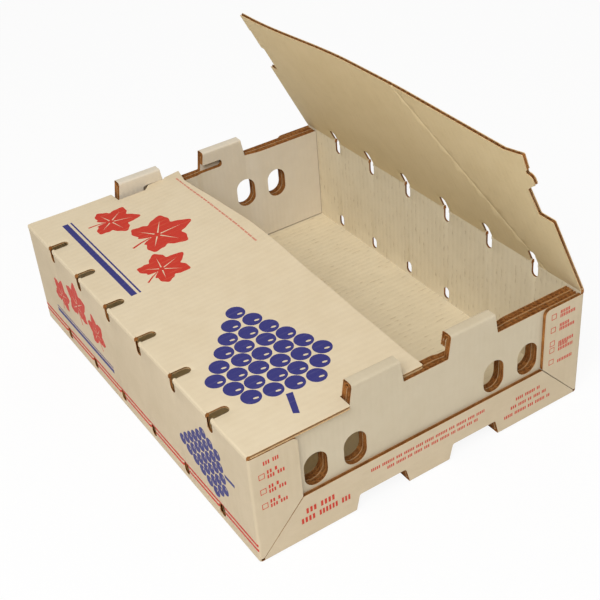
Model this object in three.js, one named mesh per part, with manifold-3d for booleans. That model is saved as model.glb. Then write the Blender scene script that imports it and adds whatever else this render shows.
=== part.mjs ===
// A one-piece wrap of corrugated board with two folded end panels and two lid flaps: a produce box.
// Millimetres, +Z up. The origin is the centre of the underside. X runs across the box, Y along it,
// and the near end faces -Y.
import * as THREE from 'three';
import { mergeVertices } from 'three/addons/utils/BufferGeometryUtils.js';
import Module from 'manifold-3d';

const wasm = await Module();
wasm.setup();

// ---------------------------------------------------------------- driving dimensions

// Outside sizes, with the lid closed
const width = 400;
const length = 500;
const height = 134;

// Boards
const board = 4; // single-wall board of the wrap and the lid flaps
const panelBoard = 6.5; // double-wall board of the end panels, one layer
const foldRadius = 3; // outside radius of the wrap's folds
const innerFoldRadius = 0.5;
const layerSlit = 0.3; // between the two layers of a folded end panel
const glueGap = 0.2; // between an end panel and the wrap around it
const restGap = 0.3; // between a lid flap and the edges that it lies on

// Stacking tabs, two on each end, and the notches that they enter in the box above
const tabCentre = 57.5; // from the middle of the end
const tabFootHalf = 30.9;
const tabTopHalf = 27.1;
const tabHeight = 23.3; // above the end panel's top edge
const tabRound = 5.5; // radius of the fold over the tab's top
const notchFootClearance = 2;
const notchTopClearance = 0.7;
const notchHeadroom = 1; // above the tip of a tab
const notchBackClearance = 1.5; // behind a tab, in the floor

// Lock slots, in the inner layer at the foot of each tab, open towards the middle of the end
const lockLength = 28.4;
const lockHeight = 8.8;

// Upright hand and air holes, two beside each corner flap
const holeWidth = 26;
const holeHeight = 38.4;
const holePitch = 44.5;
const holeFromFlap = 5.6; // between a corner flap and the nearest hole
const holeRise = 3; // between the bottom flap's edge and the holes

// Flaps that are glued to the ends
const cornerFlap = 52.2;
const cornerFlapDrop = 1.2; // from the wall's top edge down to the corner flap's
const cornerFlapRound = 6;
const bottomFlap = 54.9;
const mitreGap = 1;
const mitreStop = 0.8; // from the inside of the wall and floor to the end of a mitre cut

// Air slots in the side walls
const ventCount = 6;
const ventPitch = 72.6;
const ventWidth = 8;
const ventInFlap = 22.2; // from the wall's outer face into the lid flap
const ventInWall = 19.2; // from the top of the closed lid down the wall
const lowVentBottom = 6.6;
const lowVentTop = 22.2;

// Lid flaps
const flapEndInset = 0.6; // from the box's end to the flap's end edge
const flapMeetGap = 0.6; // between the two closed flaps
const flapTabClearance = 1.3; // beside a tab
const flapWallClearance = 0.5; // behind a tab, inside the end panel's inner face
const hookNotch = 6.5; // depth of the notch behind the tab at the hooked end
const hookSlant = 13; // length of the slanted edge beside that notch
const hookEdge = 12.5; // from the box's end to the flap's edge next to the middle, hooked end
const plainEdge = 11; // the same at the plain end
const hookCorner = 3; // cut back from the free edge at the hooked corner
const tuckDepth = 9.5; // deepest cut of the free edge, where the lid tucks under
const tuckStart = 40; // from the box's hooked end to that point
const tuckEnd = 200; // from the hooked end to where the free edge is full again
const openAngle = THREE.MathUtils.degToRad(63.5); // how far the right flap stands open

const arcSteps = 5;

// ---------------------------------------------------------------- derived sizes

const wallTop = height - board - restGap;
const panelDepth = 2 * panelBoard;
const panelOuter = length / 2 - board - glueGap; // outer face of an end panel, from the middle
const panelInner = panelOuter - panelDepth;
const tabTop = wallTop + tabHeight;
const holeOuterCentre = width / 2 - cornerFlap - holeFromFlap - holeWidth / 2;
const holeCentres = [holeOuterCentre, holeOuterCentre - holePitch];
const holeCentreHeight = bottomFlap + holeRise + holeHeight / 2;
const notchHeight = tabHeight - board - restGap + notchHeadroom;
const notchDepth = length / 2 - panelInner + notchBackClearance;
const hingeOffset = width / 2 - board / 2;
const hingeHeight = height - board / 2;
const sides = [-1, 1];

// ---------------------------------------------------------------- solids from three.js shapes

/** Turns a closed geometry into a solid that can be joined and cut. */
function toSolid(geometry) {
  const bare = geometry.clone();
  bare.deleteAttribute('normal');
  bare.deleteAttribute('uv');
  const merged = mergeVertices(bare, 1e-4);
  return new wasm.Manifold(new wasm.Mesh({
    numProp: 3,
    vertProperties: new Float32Array(merged.attributes.position.array),
    triVerts: new Uint32Array(merged.index.array),
  }));
}

/** Turns a solid back into a geometry. */
function toGeometry(solid) {
  const mesh = solid.getMesh();
  const geometry = new THREE.BufferGeometry();
  geometry.setAttribute('position', new THREE.BufferAttribute(mesh.vertProperties, 3));
  geometry.setIndex(new THREE.BufferAttribute(mesh.triVerts, 1));
  geometry.computeVertexNormals();
  return geometry;
}

const axisX = new THREE.Vector3(1, 0, 0);
const axisY = new THREE.Vector3(0, 1, 0);
const axisZ = new THREE.Vector3(0, 0, 1);

// How a flat shape's own axes and its depth lie for a prism along each axis
const prismBasis = {
  x: new THREE.Matrix4().makeBasis(axisY, axisZ, axisX),
  y: new THREE.Matrix4().makeBasis(axisX, axisZ, axisY.clone().negate()),
  z: new THREE.Matrix4(),
};

/**
 * Extrudes a shape along an axis between two positions. The shape lies in the YZ plane for a prism
 * along X, in the XZ plane for one along Y, and in the XY plane for one along Z.
 */
function prism(shape, axis, low, high) {
  const options = { depth: high - low, bevelEnabled: false, curveSegments: arcSteps };
  const geometry = new THREE.ExtrudeGeometry(shape, options);
  geometry.applyMatrix4(prismBasis[axis]);
  const shift = { x: [low, 0, 0], y: [0, high, 0], z: [0, 0, low] }[axis];
  geometry.translate(...shift);
  return toSolid(geometry);
}

/** A shape with straight sides through the given points. */
function polygon(points) {
  return new THREE.Shape(points.map(([a, b]) => new THREE.Vector2(a, b)));
}

/** An upright slot with round ends. */
function uprightSlot(centre, low, high, slotWidth) {
  const radius = slotWidth / 2;
  const shape = new THREE.Shape();
  shape.absarc(centre, high - radius, radius, 0, Math.PI, false);
  shape.absarc(centre, low + radius, radius, Math.PI, 2 * Math.PI, false);
  shape.closePath();
  return shape;
}

/** An open-topped section with rounded lower corners, for the outside of the wrap. */
function troughShape(across, top, radius) {
  const half = across / 2;
  const shape = new THREE.Shape();
  shape.moveTo(-half, top);
  shape.lineTo(-half, radius);
  shape.absarc(-half + radius, radius, radius, Math.PI, 1.5 * Math.PI, false);
  shape.absarc(half - radius, radius, radius, 1.5 * Math.PI, 2 * Math.PI, false);
  shape.lineTo(half, top);
  shape.closePath();
  return shape;
}

/** A rectangle with rounded corners, centred on the origin. */
function roundedPlan(across, along, radius) {
  const shape = new THREE.Shape();
  const halfX = across / 2 - radius;
  const halfY = along / 2 - radius;
  shape.absarc(halfX, halfY, radius, 0, Math.PI / 2, false);
  shape.absarc(-halfX, halfY, radius, Math.PI / 2, Math.PI, false);
  shape.absarc(-halfX, -halfY, radius, Math.PI, 1.5 * Math.PI, false);
  shape.absarc(halfX, -halfY, radius, 1.5 * Math.PI, 2 * Math.PI, false);
  shape.closePath();
  return shape;
}

/** A tab or notch outline: a symmetric trapezoid between two heights. */
function trapezoid(centre, footHalf, topHalf, low, high) {
  return polygon([
    [centre - footHalf, low],
    [centre + footHalf, low],
    [centre + topHalf, high],
    [centre - topHalf, high],
  ]);
}

/** Joins a list of solids. */
function union(solids) {
  return solids.reduce((all, next) => all.add(next));
}

/** A solid and its copy turned half round the upright axis, for features on both ends. */
function onBothEnds(solid) {
  return solid.add(solid.rotate([0, 0, 180]));
}

// ---------------------------------------------------------------- wrap

/** What is missing from the glued layer of an end: the window, the mitre cuts and the notches. */
function endCuts() {
  const outside = -length / 2 - 1;
  const inside = -length / 2 + board + mitreStop / 2;
  const flapEdge = width / 2 - cornerFlap;
  const innerWall = width / 2 - board;
  const flapTop = wallTop - cornerFlapDrop;
  const roundX = flapEdge + cornerFlapRound;
  const roundZ = flapTop - cornerFlapRound;
  const window = new THREE.Shape();
  window.moveTo(-flapEdge, bottomFlap);
  window.lineTo(flapEdge, bottomFlap);
  window.lineTo(flapEdge, roundZ);
  window.absarc(roundX, roundZ, cornerFlapRound, Math.PI, Math.PI / 2, true);
  window.lineTo(innerWall, flapTop);
  window.lineTo(innerWall, height);
  window.lineTo(-innerWall, height);
  window.lineTo(-innerWall, flapTop);
  window.lineTo(-roundX, flapTop);
  window.absarc(-roundX, roundZ, cornerFlapRound, Math.PI / 2, 0, true);
  window.closePath();
  const cuts = [prism(window, 'y', outside, inside)];
  const mitreFoot = board + mitreStop;
  const mitreSide = innerWall - mitreStop;
  for (const side of sides) {
    const mitre = polygon([
      [side * (flapEdge - mitreGap), bottomFlap + mitreGap],
      [side * (flapEdge + mitreGap), bottomFlap + mitreGap],
      [side * mitreSide, mitreFoot + mitreGap],
      [side * mitreSide, mitreFoot],
      [side * (mitreSide - mitreGap), mitreFoot],
      [side * (flapEdge - mitreGap), bottomFlap - mitreGap],
    ]);
    cuts.push(prism(mitre, 'y', outside, inside));
    cuts.push(prism(notchShape(side), 'y', outside, -length / 2 + notchDepth));
  }
  return onBothEnds(union(cuts));
}

/** The stacking notch on one side of an end, open below. */
function notchShape(side) {
  const foot = tabFootHalf + notchFootClearance;
  const top = tabTopHalf + notchTopClearance;
  const below = 1;
  const spread = (foot - top) * below / notchHeight;
  return trapezoid(side * tabCentre, foot + spread, top, -below, notchHeight);
}

/** Distances of the air slots along the box, from its middle. */
function ventPositions() {
  return Array.from({ length: ventCount }, (_, i) => (i - (ventCount - 1) / 2) * ventPitch);
}

/** The air slots through both side walls. */
function wallVents() {
  const reach = width / 2 + 1;
  const cuts = ventPositions().flatMap((y) => [
    prism(uprightSlot(y, height - ventInWall, height + ventWidth, ventWidth), 'x', -reach, reach),
    prism(uprightSlot(y, lowVentBottom, lowVentTop, ventWidth), 'x', -reach, reach),
  ]);
  return union(cuts);
}

/** Floor, side walls, corner flaps and bottom flaps: one folded sheet. */
function bodyWrap() {
  const outside = prism(roundedPlan(width, length, foldRadius), 'z', 0, wallTop)
    .intersect(prism(troughShape(width, wallTop, foldRadius), 'y', -length / 2, length / 2))
    .intersect(prism(troughShape(length, wallTop, foldRadius), 'x', -width / 2, width / 2));
  const inside = roundedPlan(width - 2 * board, length - 2 * board, innerFoldRadius);
  const cavity = prism(inside, 'z', board, height);
  return outside.subtract(cavity).subtract(endCuts()).subtract(wallVents());
}

// ---------------------------------------------------------------- end panels

/** The front outline of an end panel: its rectangle and tabs, with the notches and holes cut out. */
function panelFront() {
  const half = width / 2 - board - glueGap;
  const foot = board + glueGap;
  const from = -length / 2;
  const to = 0;
  const plate = polygon([[-half, foot], [half, foot], [half, wallTop], [-half, wallTop]]);
  const parts = [prism(plate, 'y', from, to)];
  const cuts = [];
  for (const side of sides) {
    const root = 1;
    const spread = (tabFootHalf - tabTopHalf) * root / tabHeight;
    const tab = trapezoid(side * tabCentre, tabFootHalf + spread, tabTopHalf, wallTop - root, tabTop);
    parts.push(prism(tab, 'y', from, to));
    cuts.push(prism(notchShape(side), 'y', from - 1, to + 1));
    for (const centre of holeCentres) {
      const low = holeCentreHeight - holeHeight / 2;
      const hole = uprightSlot(side * centre, low, low + holeHeight, holeWidth);
      cuts.push(prism(hole, 'y', from - 1, to + 1));
    }
  }
  return union(parts).subtract(union(cuts));
}

/** The section of an end panel: two layers of board that one fold joins over the tab's top. */
function panelSection() {
  const outer = -panelOuter;
  const inner = -panelInner;
  const middle = (outer + inner) / 2;
  const shape = new THREE.Shape();
  shape.moveTo(outer, 0);
  shape.lineTo(middle - layerSlit / 2, 0);
  shape.lineTo(middle - layerSlit / 2, tabTop - panelBoard);
  shape.lineTo(middle + layerSlit / 2, tabTop - panelBoard);
  shape.lineTo(middle + layerSlit / 2, 0);
  shape.lineTo(inner, 0);
  shape.absarc(inner - tabRound, tabTop - tabRound, tabRound, 0, Math.PI / 2, false);
  shape.absarc(outer + tabRound, tabTop - tabRound, tabRound, Math.PI / 2, Math.PI, false);
  shape.closePath();
  return prism(shape, 'x', -width / 2, width / 2);
}

/** The lock slots in the inner layer, open towards the middle of the end. */
function lockSlots() {
  const radius = lockHeight / 2;
  const mouth = tabCentre - tabFootHalf;
  const endCentre = mouth + lockLength - radius;
  const shape = new THREE.Shape();
  shape.moveTo(mouth - radius, wallTop);
  shape.lineTo(endCentre, wallTop);
  shape.absarc(endCentre, wallTop + radius, radius, -Math.PI / 2, Math.PI / 2, false);
  shape.lineTo(mouth - radius, wallTop + lockHeight);
  shape.closePath();
  const slot = prism(shape, 'y', -(panelOuter + panelInner) / 2, -panelInner + 1);
  return slot.add(slot.mirror([1, 0, 0]));
}

/** The near end's panel: one sheet folded over at its tabs into two layers. */
function endPanel() {
  return panelFront().intersect(panelSection()).subtract(lockSlots());
}

// ---------------------------------------------------------------- lid flaps

/**
 * A closed lid flap about its fold line, which is the origin. It reaches towards -X, and its hooked
 * end is at -Y. Distances across are counted from the wall's outer face.
 */
function lidFlap() {
  const half = board / 2;
  const across = (distance) => half - distance;
  const hooked = (distance) => -length / 2 + distance;
  const plain = (distance) => length / 2 - distance;
  const freeEdge = width / 2 - flapMeetGap / 2;
  const tabNear = width / 2 - tabCentre - tabFootHalf - flapTabClearance;
  const tabFar = width / 2 - tabCentre + tabFootHalf + flapTabClearance;
  const behindTab = length / 2 - panelInner + flapWallClearance;
  const slantStart = width / 2 - tabCentre + tabFootHalf - lockLength;

  const outline = polygon([
    [across(-1), hooked(flapEndInset)],
    [across(-1), plain(flapEndInset)],
    [across(tabNear), plain(flapEndInset)],
    [across(tabNear), plain(behindTab)],
    [across(tabFar), plain(behindTab)],
    [across(tabFar), plain(plainEdge)],
    [across(freeEdge), plain(plainEdge)],
    [across(freeEdge), hooked(tuckEnd)],
    [across(freeEdge - tuckDepth), hooked(tuckStart)],
    [across(freeEdge - hookCorner), hooked(hookEdge)],
    [across(tabFar), hooked(hookEdge)],
    [across(tabFar), hooked(behindTab)],
    [across(slantStart + hookSlant), hooked(behindTab)],
    [across(slantStart), hooked(behindTab + hookNotch)],
    [across(tabNear), hooked(behindTab + hookNotch)],
    [across(tabNear), hooked(flapEndInset)],
  ]);

  const section = new THREE.Shape();
  section.moveTo(-width / 2, -half);
  section.lineTo(0, -half);
  section.absarc(0, 0, half, -Math.PI / 2, Math.PI / 2, false);
  section.lineTo(-width / 2, half);
  section.closePath();

  const vents = union(ventPositions().map((y) => {
    const radius = ventWidth / 2;
    const end = across(ventInFlap) + radius;
    const slot = new THREE.Shape();
    slot.moveTo(board, y + radius);
    slot.lineTo(end, y + radius);
    slot.absarc(end, y, radius, Math.PI / 2, 1.5 * Math.PI, false);
    slot.lineTo(board, y - radius);
    slot.closePath();
    return prism(slot, 'z', -board, board);
  }));

  return prism(outline, 'z', -board, board)
    .intersect(prism(section, 'y', -length / 2, length / 2))
    .subtract(vents);
}

// ---------------------------------------------------------------- assembly

const whiteBoard = new THREE.MeshStandardMaterial({ color: 0xd8c8a6, roughness: 0.85, metalness: 0 });
const endBoard = new THREE.MeshStandardMaterial({ color: 0xcab89a, roughness: 0.85, metalness: 0 });
const lidBoard = new THREE.MeshStandardMaterial({ color: 0xdccba8, roughness: 0.8, metalness: 0 });

/** A named mesh from a solid. */
function part(name, solid, material) {
  const mesh = new THREE.Mesh(toGeometry(solid), material);
  mesh.name = name;
  return mesh;
}

/** A flap mesh on its fold line. */
function hingedFlap(name, side, opening) {
  const fold = new THREE.Group();
  fold.position.set(side * hingeOffset, 0, hingeHeight);
  fold.rotation.z = side > 0 ? 0 : Math.PI;
  const mesh = part(name, lidFlap(), lidBoard);
  mesh.rotation.y = opening;
  fold.add(mesh);
  return fold;
}

const grapeBox = new THREE.Group();
grapeBox.add(part('body_wrap', bodyWrap(), whiteBoard));
grapeBox.add(part('end_panel_front', endPanel(), endBoard));
grapeBox.add(part('end_panel_back', endPanel().rotate([0, 0, 180]), endBoard));
grapeBox.add(hingedFlap('lid_flap_left', -1, 0));
grapeBox.add(hingedFlap('lid_flap_right', 1, openAngle));

export default grapeBox;
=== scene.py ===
"""A shallow produce box of white-lined corrugated board, one lid flap closed and one open.

The box is three kinds of folded sheet: one wrap, two end panels and two lid flaps. Each sheet is
made flat, as liners and fluted medium cut to one outline, and is then folded along its own path.
Places on a blank are "along" the flutes and "across" them, and depth counts from the printed face
inwards. Classes hold sizes in millimetres unless they say metres, and meshes are in metres. X runs
across the box, Y along it, and the near end faces -Y.
"""

import logging
import math
from dataclasses import dataclass, replace
from enum import Enum, IntEnum
from typing import Iterable, Mapping, Sequence

import bmesh
import bpy
from mathutils import Matrix, Vector


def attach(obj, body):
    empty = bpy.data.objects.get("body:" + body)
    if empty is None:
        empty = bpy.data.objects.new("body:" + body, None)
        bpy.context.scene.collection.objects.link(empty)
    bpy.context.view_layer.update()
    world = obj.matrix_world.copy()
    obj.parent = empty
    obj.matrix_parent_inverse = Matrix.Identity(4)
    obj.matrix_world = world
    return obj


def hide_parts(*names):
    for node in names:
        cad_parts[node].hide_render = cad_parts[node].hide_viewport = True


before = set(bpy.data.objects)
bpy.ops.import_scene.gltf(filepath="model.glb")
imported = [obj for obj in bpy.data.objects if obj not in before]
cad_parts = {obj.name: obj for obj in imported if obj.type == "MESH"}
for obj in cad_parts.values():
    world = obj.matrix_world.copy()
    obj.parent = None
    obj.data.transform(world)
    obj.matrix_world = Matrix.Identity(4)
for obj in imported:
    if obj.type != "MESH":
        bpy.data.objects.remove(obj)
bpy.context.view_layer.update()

logging.basicConfig(level=logging.INFO, format="%(message)s")
LOG = logging.getLogger("grape_box")

MM = 0.001
# Edges sharper than this, in degrees, are shaded sharp.
SHARP_ANGLE = 30.0
# Rounding as a share of half a slot's width. At 1 the two corners of a round end would meet.
ROUND_END = 0.98
# How far a film of ink stands above the paper and is sunk into it.
INK_ABOVE = 0.06
INK_BELOW = 0.02
# Straight pieces in a bend or a rounded corner, and in one flute.
ROUND_STEPS = 6
FLUTE_STEPS = 8

Span = tuple[float, float]
Corner = tuple[float, float, float]
Loop = tuple[Corner, ...]
Colour = tuple[float, float, float]
Screen = tuple[int, int, int]


def corner(along: float, across: float, rounding: float = 0.0) -> Corner:
    """Returns one corner of a loop, given and rounded in millimetres, in metres."""
    return (along * MM, across * MM, rounding * MM)


def box_loop(along: Span, across: Span, rounding: float = 0.0) -> Loop:
    """Makes a rectangular loop.

    Args:
        along: Lowest and highest place along the flutes, in millimetres.
        across: Lowest and highest place across the flutes, in millimetres.
        rounding: Radius of all four corners, in millimetres.

    Returns:
        The loop's four corners.
    """
    return (
        corner(along[0], across[0], rounding),
        corner(along[1], across[0], rounding),
        corner(along[1], across[1], rounding),
        corner(along[0], across[1], rounding),
    )


def mirrored(loop: Loop, along: int = 1, across: int = 1) -> Loop:
    """Returns a loop with its places multiplied by 1 or -1 in each direction."""
    return tuple((a * along, b * across, r) for a, b, r in loop)


def smoothstep(value: float) -> float:
    """Returns a smooth rise from 0 to 1 for a value from 0 to 1, held beyond them."""
    held = min(1.0, max(0.0, value))
    return held * held * (3.0 - 2.0 * held)


def smooth_curve(points: Sequence[Span], where: float) -> float:
    """Finds the height of a smooth curve that is level at each of its points.

    Args:
        points: Places and heights, in order of place.
        where: The place, which isn't past the last point.

    Returns:
        The curve's height there.
    """
    index = next(i for i in range(len(points) - 1) if where <= points[i + 1][0])
    (low, first), (high, second) = points[index], points[index + 1]
    return first + (second - first) * smoothstep((where - low) / (high - low))


# ---------------------------------------------------------------------------- size of the box


@dataclass(frozen=True)
class BoxSizes:
    """The sizes that the sheets share, in millimetres."""

    width: float = 400.0
    length: float = 500.0
    height: float = 134.0
    board: float = 4.0
    panel_board: float = 6.5
    single_pitch: float = 7.6
    double_pitch: float = 6.2
    fold_radius: float = 3.0
    inner_fold_radius: float = 0.5
    wall_top: float = 129.7
    tab_centre: float = 57.5
    tab_foot_half: float = 30.9
    tab_top_half: float = 27.1
    tab_top: float = 153.0
    panel_outer: float = 245.8
    panel_foot: float = 4.2
    hole_width: float = 26.0
    hole_height: float = 38.4
    hole_centres: Span = (129.2, 84.7)
    hole_height_centre: float = 77.1
    notch_height: float = 20.0
    notch_depth: float = 18.7
    notch_foot_half: float = 32.9
    notch_top_half: float = 27.8
    corner_flap: float = 52.2
    bottom_flap: float = 54.9
    vent_count: int = 6
    vent_pitch: float = 72.6
    vent_width: float = 9.4
    hinge_offset: float = 198.0
    hinge_height: float = 132.0

    @property
    def half_width(self) -> float:
        """Half of the box's width."""
        return self.width / 2

    @property
    def half_length(self) -> float:
        """Half of the box's length."""
        return self.length / 2

    @property
    def fold_reach(self) -> float:
        """How far a fold's inner bend starts from its sharp outer corner."""
        return self.board + self.inner_fold_radius

    @property
    def fold_extra(self) -> float:
        """What a fold's rounded outer corner adds to the blank, which is less than nothing."""
        return self.fold_radius * (math.pi / 2 - 2)

    @property
    def tab_slope(self) -> float:
        """How far a tab's side leans in for each millimetre of height."""
        return (self.tab_foot_half - self.tab_top_half) / (self.tab_top - self.wall_top)

    @property
    def vents(self) -> list[float]:
        """Places of the air slots along the box."""
        return [(i - (self.vent_count - 1) / 2) * self.vent_pitch for i in range(self.vent_count)]


SIZES = BoxSizes()


@dataclass(frozen=True)
class Slots:
    """A row of air slots, whose rims the die has pressed thinner, in millimetres.

    At the slots the press takes that share of the board's thickness, and it fades over the ramp.
    """

    foot: float
    top: float
    half: float = SIZES.vent_width / 2
    ramp: float = 2.6
    share: float = 0.42

    def centre(self, across: float) -> float:
        """Returns the middle of the slot nearest to a place along the box."""
        return min(SIZES.vents, key=lambda vent: abs(vent - across))

    def pressed(self, along: float, across: float) -> float:
        """Finds how far the board is pressed at a place.

        Args:
            along: Place along the flutes.
            across: Place along the box.

        Returns:
            What is left of the board's thickness, as a share of it.
        """
        beside = max(0.0, abs(across - self.centre(across)) - self.half)
        beyond = max(0.0, self.foot - along, along - self.top)
        near = 1.0 - smoothstep(math.hypot(beside, beyond) / self.ramp)
        return 1.0 - self.share * near

    def across_cuts(self) -> list[float]:
        """Returns where the pressed rims end across the flutes, in metres."""
        reach = self.half + self.ramp
        return [(vent + side * reach) * MM for vent in SIZES.vents for side in (-1, 1)]


def open_slots(edge: float, end: float, half: float, middle: float = 0.0) -> list[Corner]:
    """Makes the corners of the air slots that run out over an edge of a blank.

    Args:
        edge: The edge's place along the flutes, in millimetres.
        end: Where the slots' round ends reach.
        half: Half of a slot's width.
        middle: Place across the flutes of the middle of the box.

    Returns:
        The corners, from the far slot to the near one.
    """
    corners: list[Corner] = []
    for vent in reversed(SIZES.vents):
        place = middle + vent
        corners += [
            corner(edge, place + half),
            corner(end, place + half, half * ROUND_END),
            corner(end, place - half, half * ROUND_END),
            corner(edge, place - half),
        ]
    return corners


# ---------------------------------------------------------------------------- shader maths


class Value:
    """A shader socket that is used like a number."""

    def __init__(self, book: "NodeBook", socket: bpy.types.NodeSocket) -> None:
        """Wraps one output socket of a node book."""
        self.book = book
        self.socket = socket

    def __add__(self, other: "Value | float") -> "Value":
        """Returns the sum."""
        return self.book.maths("ADD", self, other)

    __radd__ = __add__

    def __sub__(self, other: "Value | float") -> "Value":
        """Returns the difference."""
        return self.book.maths("SUBTRACT", self, other)

    def __rsub__(self, other: float) -> "Value":
        """Returns the reflected difference."""
        return self.book.maths("SUBTRACT", other, self)

    def __mul__(self, other: "Value | float") -> "Value":
        """Returns the product."""
        return self.book.maths("MULTIPLY", self, other)

    __rmul__ = __mul__

    def sine(self) -> "Value":
        """Returns the sine of the value in radians."""
        return self.book.maths("SINE", self, 0.0)

    def ramp(self, low: float, high: float) -> "Value":
        """Makes a smooth rise of the value.

        Args:
            low: Where the rise is still 0.
            high: Where it reaches 1.

        Returns:
            The risen value.
        """
        node = self.book.node(
            "ShaderNodeMapRange",
            {"interpolation_type": "SMOOTHSTEP"},
            {"Value": self, "From Min": low, "From Max": high, "To Min": 0.0, "To Max": 1.0},
        )
        return Value(self.book, node.outputs["Result"])


class NodeBook:
    """The nodes of one material or world."""

    def __init__(self, owner: "bpy.types.Material | bpy.types.World") -> None:
        """Takes over the owner's nodes and clears them.

        Args:
            owner: The material or world.
        """
        owner.use_nodes = True
        self.owner = owner
        self.tree = owner.node_tree
        self.tree.nodes.clear()

    def node(
        self, kind: str, settings: Mapping[str, object], inputs: Mapping[str | int, object]
    ) -> bpy.types.Node:
        """Adds a node.

        Args:
            kind: The node's type name.
            settings: Properties of the node, which are set first.
            inputs: Values or links of its sockets, by socket name or number.

        Returns:
            The new node.
        """
        node = self.tree.nodes.new(kind)
        for name, setting in settings.items():
            setattr(node, name, setting)
        for key, given in inputs.items():
            socket = node.inputs[key]
            source = given.socket if isinstance(given, Value) else given
            if isinstance(source, bpy.types.NodeSocket):
                self.tree.links.new(source, socket)
            elif isinstance(source, tuple) and len(source) == 3 and socket.type == "RGBA":
                socket.default_value = (*source, 1.0)
            else:
                socket.default_value = source
        return node

    def maths(self, operation: str, first: Value | float, second: Value | float) -> Value:
        """Adds one Math node and returns its result."""
        node = self.node("ShaderNodeMath", {"operation": operation}, {0: first, 1: second})
        return Value(self, node.outputs[0])

    def place(self, kind: str) -> bpy.types.NodeSocket:
        """Returns a texture coordinate: Object, or UV for the sheet's own flat places."""
        return self.node("ShaderNodeTexCoord", {}, {}).outputs[kind]

    def flute_wave(self, pitch: float) -> Value:
        """Makes a wave that follows the flutes.

        Args:
            pitch: Pitch of the flutes, in millimetres.

        Returns:
            A value from 0 over a valley to 1 over a flute.
        """
        parts = self.node("ShaderNodeSeparateXYZ", {}, {"Vector": self.place("UV")})
        across = Value(self, parts.outputs["Y"])
        return (across * (2 * math.pi / (pitch * MM))).sine() * 0.5 + 0.5

    def stretched(
        self, vector: bpy.types.NodeSocket, scale: tuple[float, float, float]
    ) -> bpy.types.NodeSocket:
        """Returns the vector times a scale in each direction."""
        node = self.node("ShaderNodeVectorMath", {"operation": "MULTIPLY"}, {0: vector, 1: scale})
        return node.outputs[0]

    def noise(
        self,
        vector: bpy.types.NodeSocket,
        scale: float,
        detail: float = 3.0,
        roughness: float = 0.55,
    ) -> Value:
        """Adds a noise texture.

        Args:
            vector: Where it is read.
            scale: Its scale.
            detail: Its number of finer layers.
            roughness: How strong the finer layers are.

        Returns:
            Its value, from 0 to 1.
        """
        node = self.node(
            "ShaderNodeTexNoise",
            {},
            {"Vector": vector, "Scale": scale, "Detail": detail, "Roughness": roughness},
        )
        return Value(self, node.outputs["Fac"])

    def mix(self, factor: Value, first: object, second: object) -> bpy.types.NodeSocket:
        """Returns a mix of two colours, or sockets that give them: 0 for the first, 1 for the second."""
        inputs = {0: factor, 6: first, 7: second}
        return self.node("ShaderNodeMix", {"data_type": "RGBA"}, inputs).outputs[2]

    def bump(self, height: Value, distance: float) -> bpy.types.NodeSocket:
        """Returns a normal bent by a height in units of a distance in metres."""
        inputs = {"Height": height, "Distance": distance, "Strength": 1.0}
        return self.node("ShaderNodeBump", {}, inputs).outputs["Normal"]

    def finish(self, inputs: Mapping[str, object]) -> bpy.types.Material:
        """Adds the surface shader.

        Args:
            inputs: Values or links of the shader's sockets.

        Returns:
            The finished material.
        """
        shader = self.node("ShaderNodeBsdfPrincipled", {}, inputs)
        self.node("ShaderNodeOutputMaterial", {}, {"Surface": shader.outputs[0]})
        return self.owner


def new_material(name: str) -> NodeBook:
    """Returns the empty node book of a new material."""
    return NodeBook(bpy.data.materials.new(name))


def linear(screen: Screen) -> Colour:
    """Returns a screen colour of 0 to 255 as linear light."""
    return tuple((c / 255) / 12.92 if c <= 10 else ((c / 255 + 0.055) / 1.055) ** 2.4 for c in screen)


# ---------------------------------------------------------------------------- finishes


@dataclass(frozen=True)
class LinerFinish:
    """A paper liner that shows the flutes under it as a faint washboard."""

    name: str
    paper: Screen
    shade: Screen
    fibre: Screen = (150, 116, 70)
    pitch: float = SIZES.single_pitch
    washboard: float = 0.5
    # How strongly the valleys between the flutes are darkened with painted shade.
    valley_shade: float = 0.0
    roughness: float = 0.72

    def make(self) -> bpy.types.Material:
        """Builds the material: cloudy paper, broken dashes of painted shade in the valleys between the
        flutes, and fibres.

        Returns:
            The material.
        """
        book = new_material(self.name)
        uv = book.place("UV")
        cloud = book.noise(uv, 9.0, 4.0, 0.6)
        patch = book.noise(uv, 45.0, 3.0, 0.6)
        fibre = book.noise(book.stretched(uv, (500.0, 1400.0, 1.0)), 1.0, 2.0)
        broken = book.noise(book.stretched(uv, (110.0, 420.0, 1.0)), 1.0, 2.0)
        wave = book.flute_wave(self.pitch)
        valley = (1.0 - wave).ramp(0.62, 1.0)
        tone = (cloud * 0.6 + patch * 0.4).ramp(0.35, 0.68) * 0.55
        toned = book.mix(tone, linear(self.paper), linear(self.shade))
        # Painted shade: broken dashes darken the valleys between the flutes towards the fibre colour.
        valley_shade_mask = valley * broken.ramp(0.48, 0.68) * patch.ramp(0.36, 0.6)
        valley_shaded = book.mix(valley_shade_mask * self.valley_shade, toned, linear(self.fibre))
        flecked = book.mix(fibre.ramp(0.66, 0.8) * 0.35, valley_shaded, linear(self.fibre))
        height = wave * self.washboard + fibre * 0.22 + patch * 0.8
        return book.finish(
            {
                "Base Color": flecked,
                "Roughness": cloud * 0.12 + (self.roughness - 0.06),
                "Specular IOR Level": 0.3,
                "Normal": book.bump(height, 0.00022),
            }
        )


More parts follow.
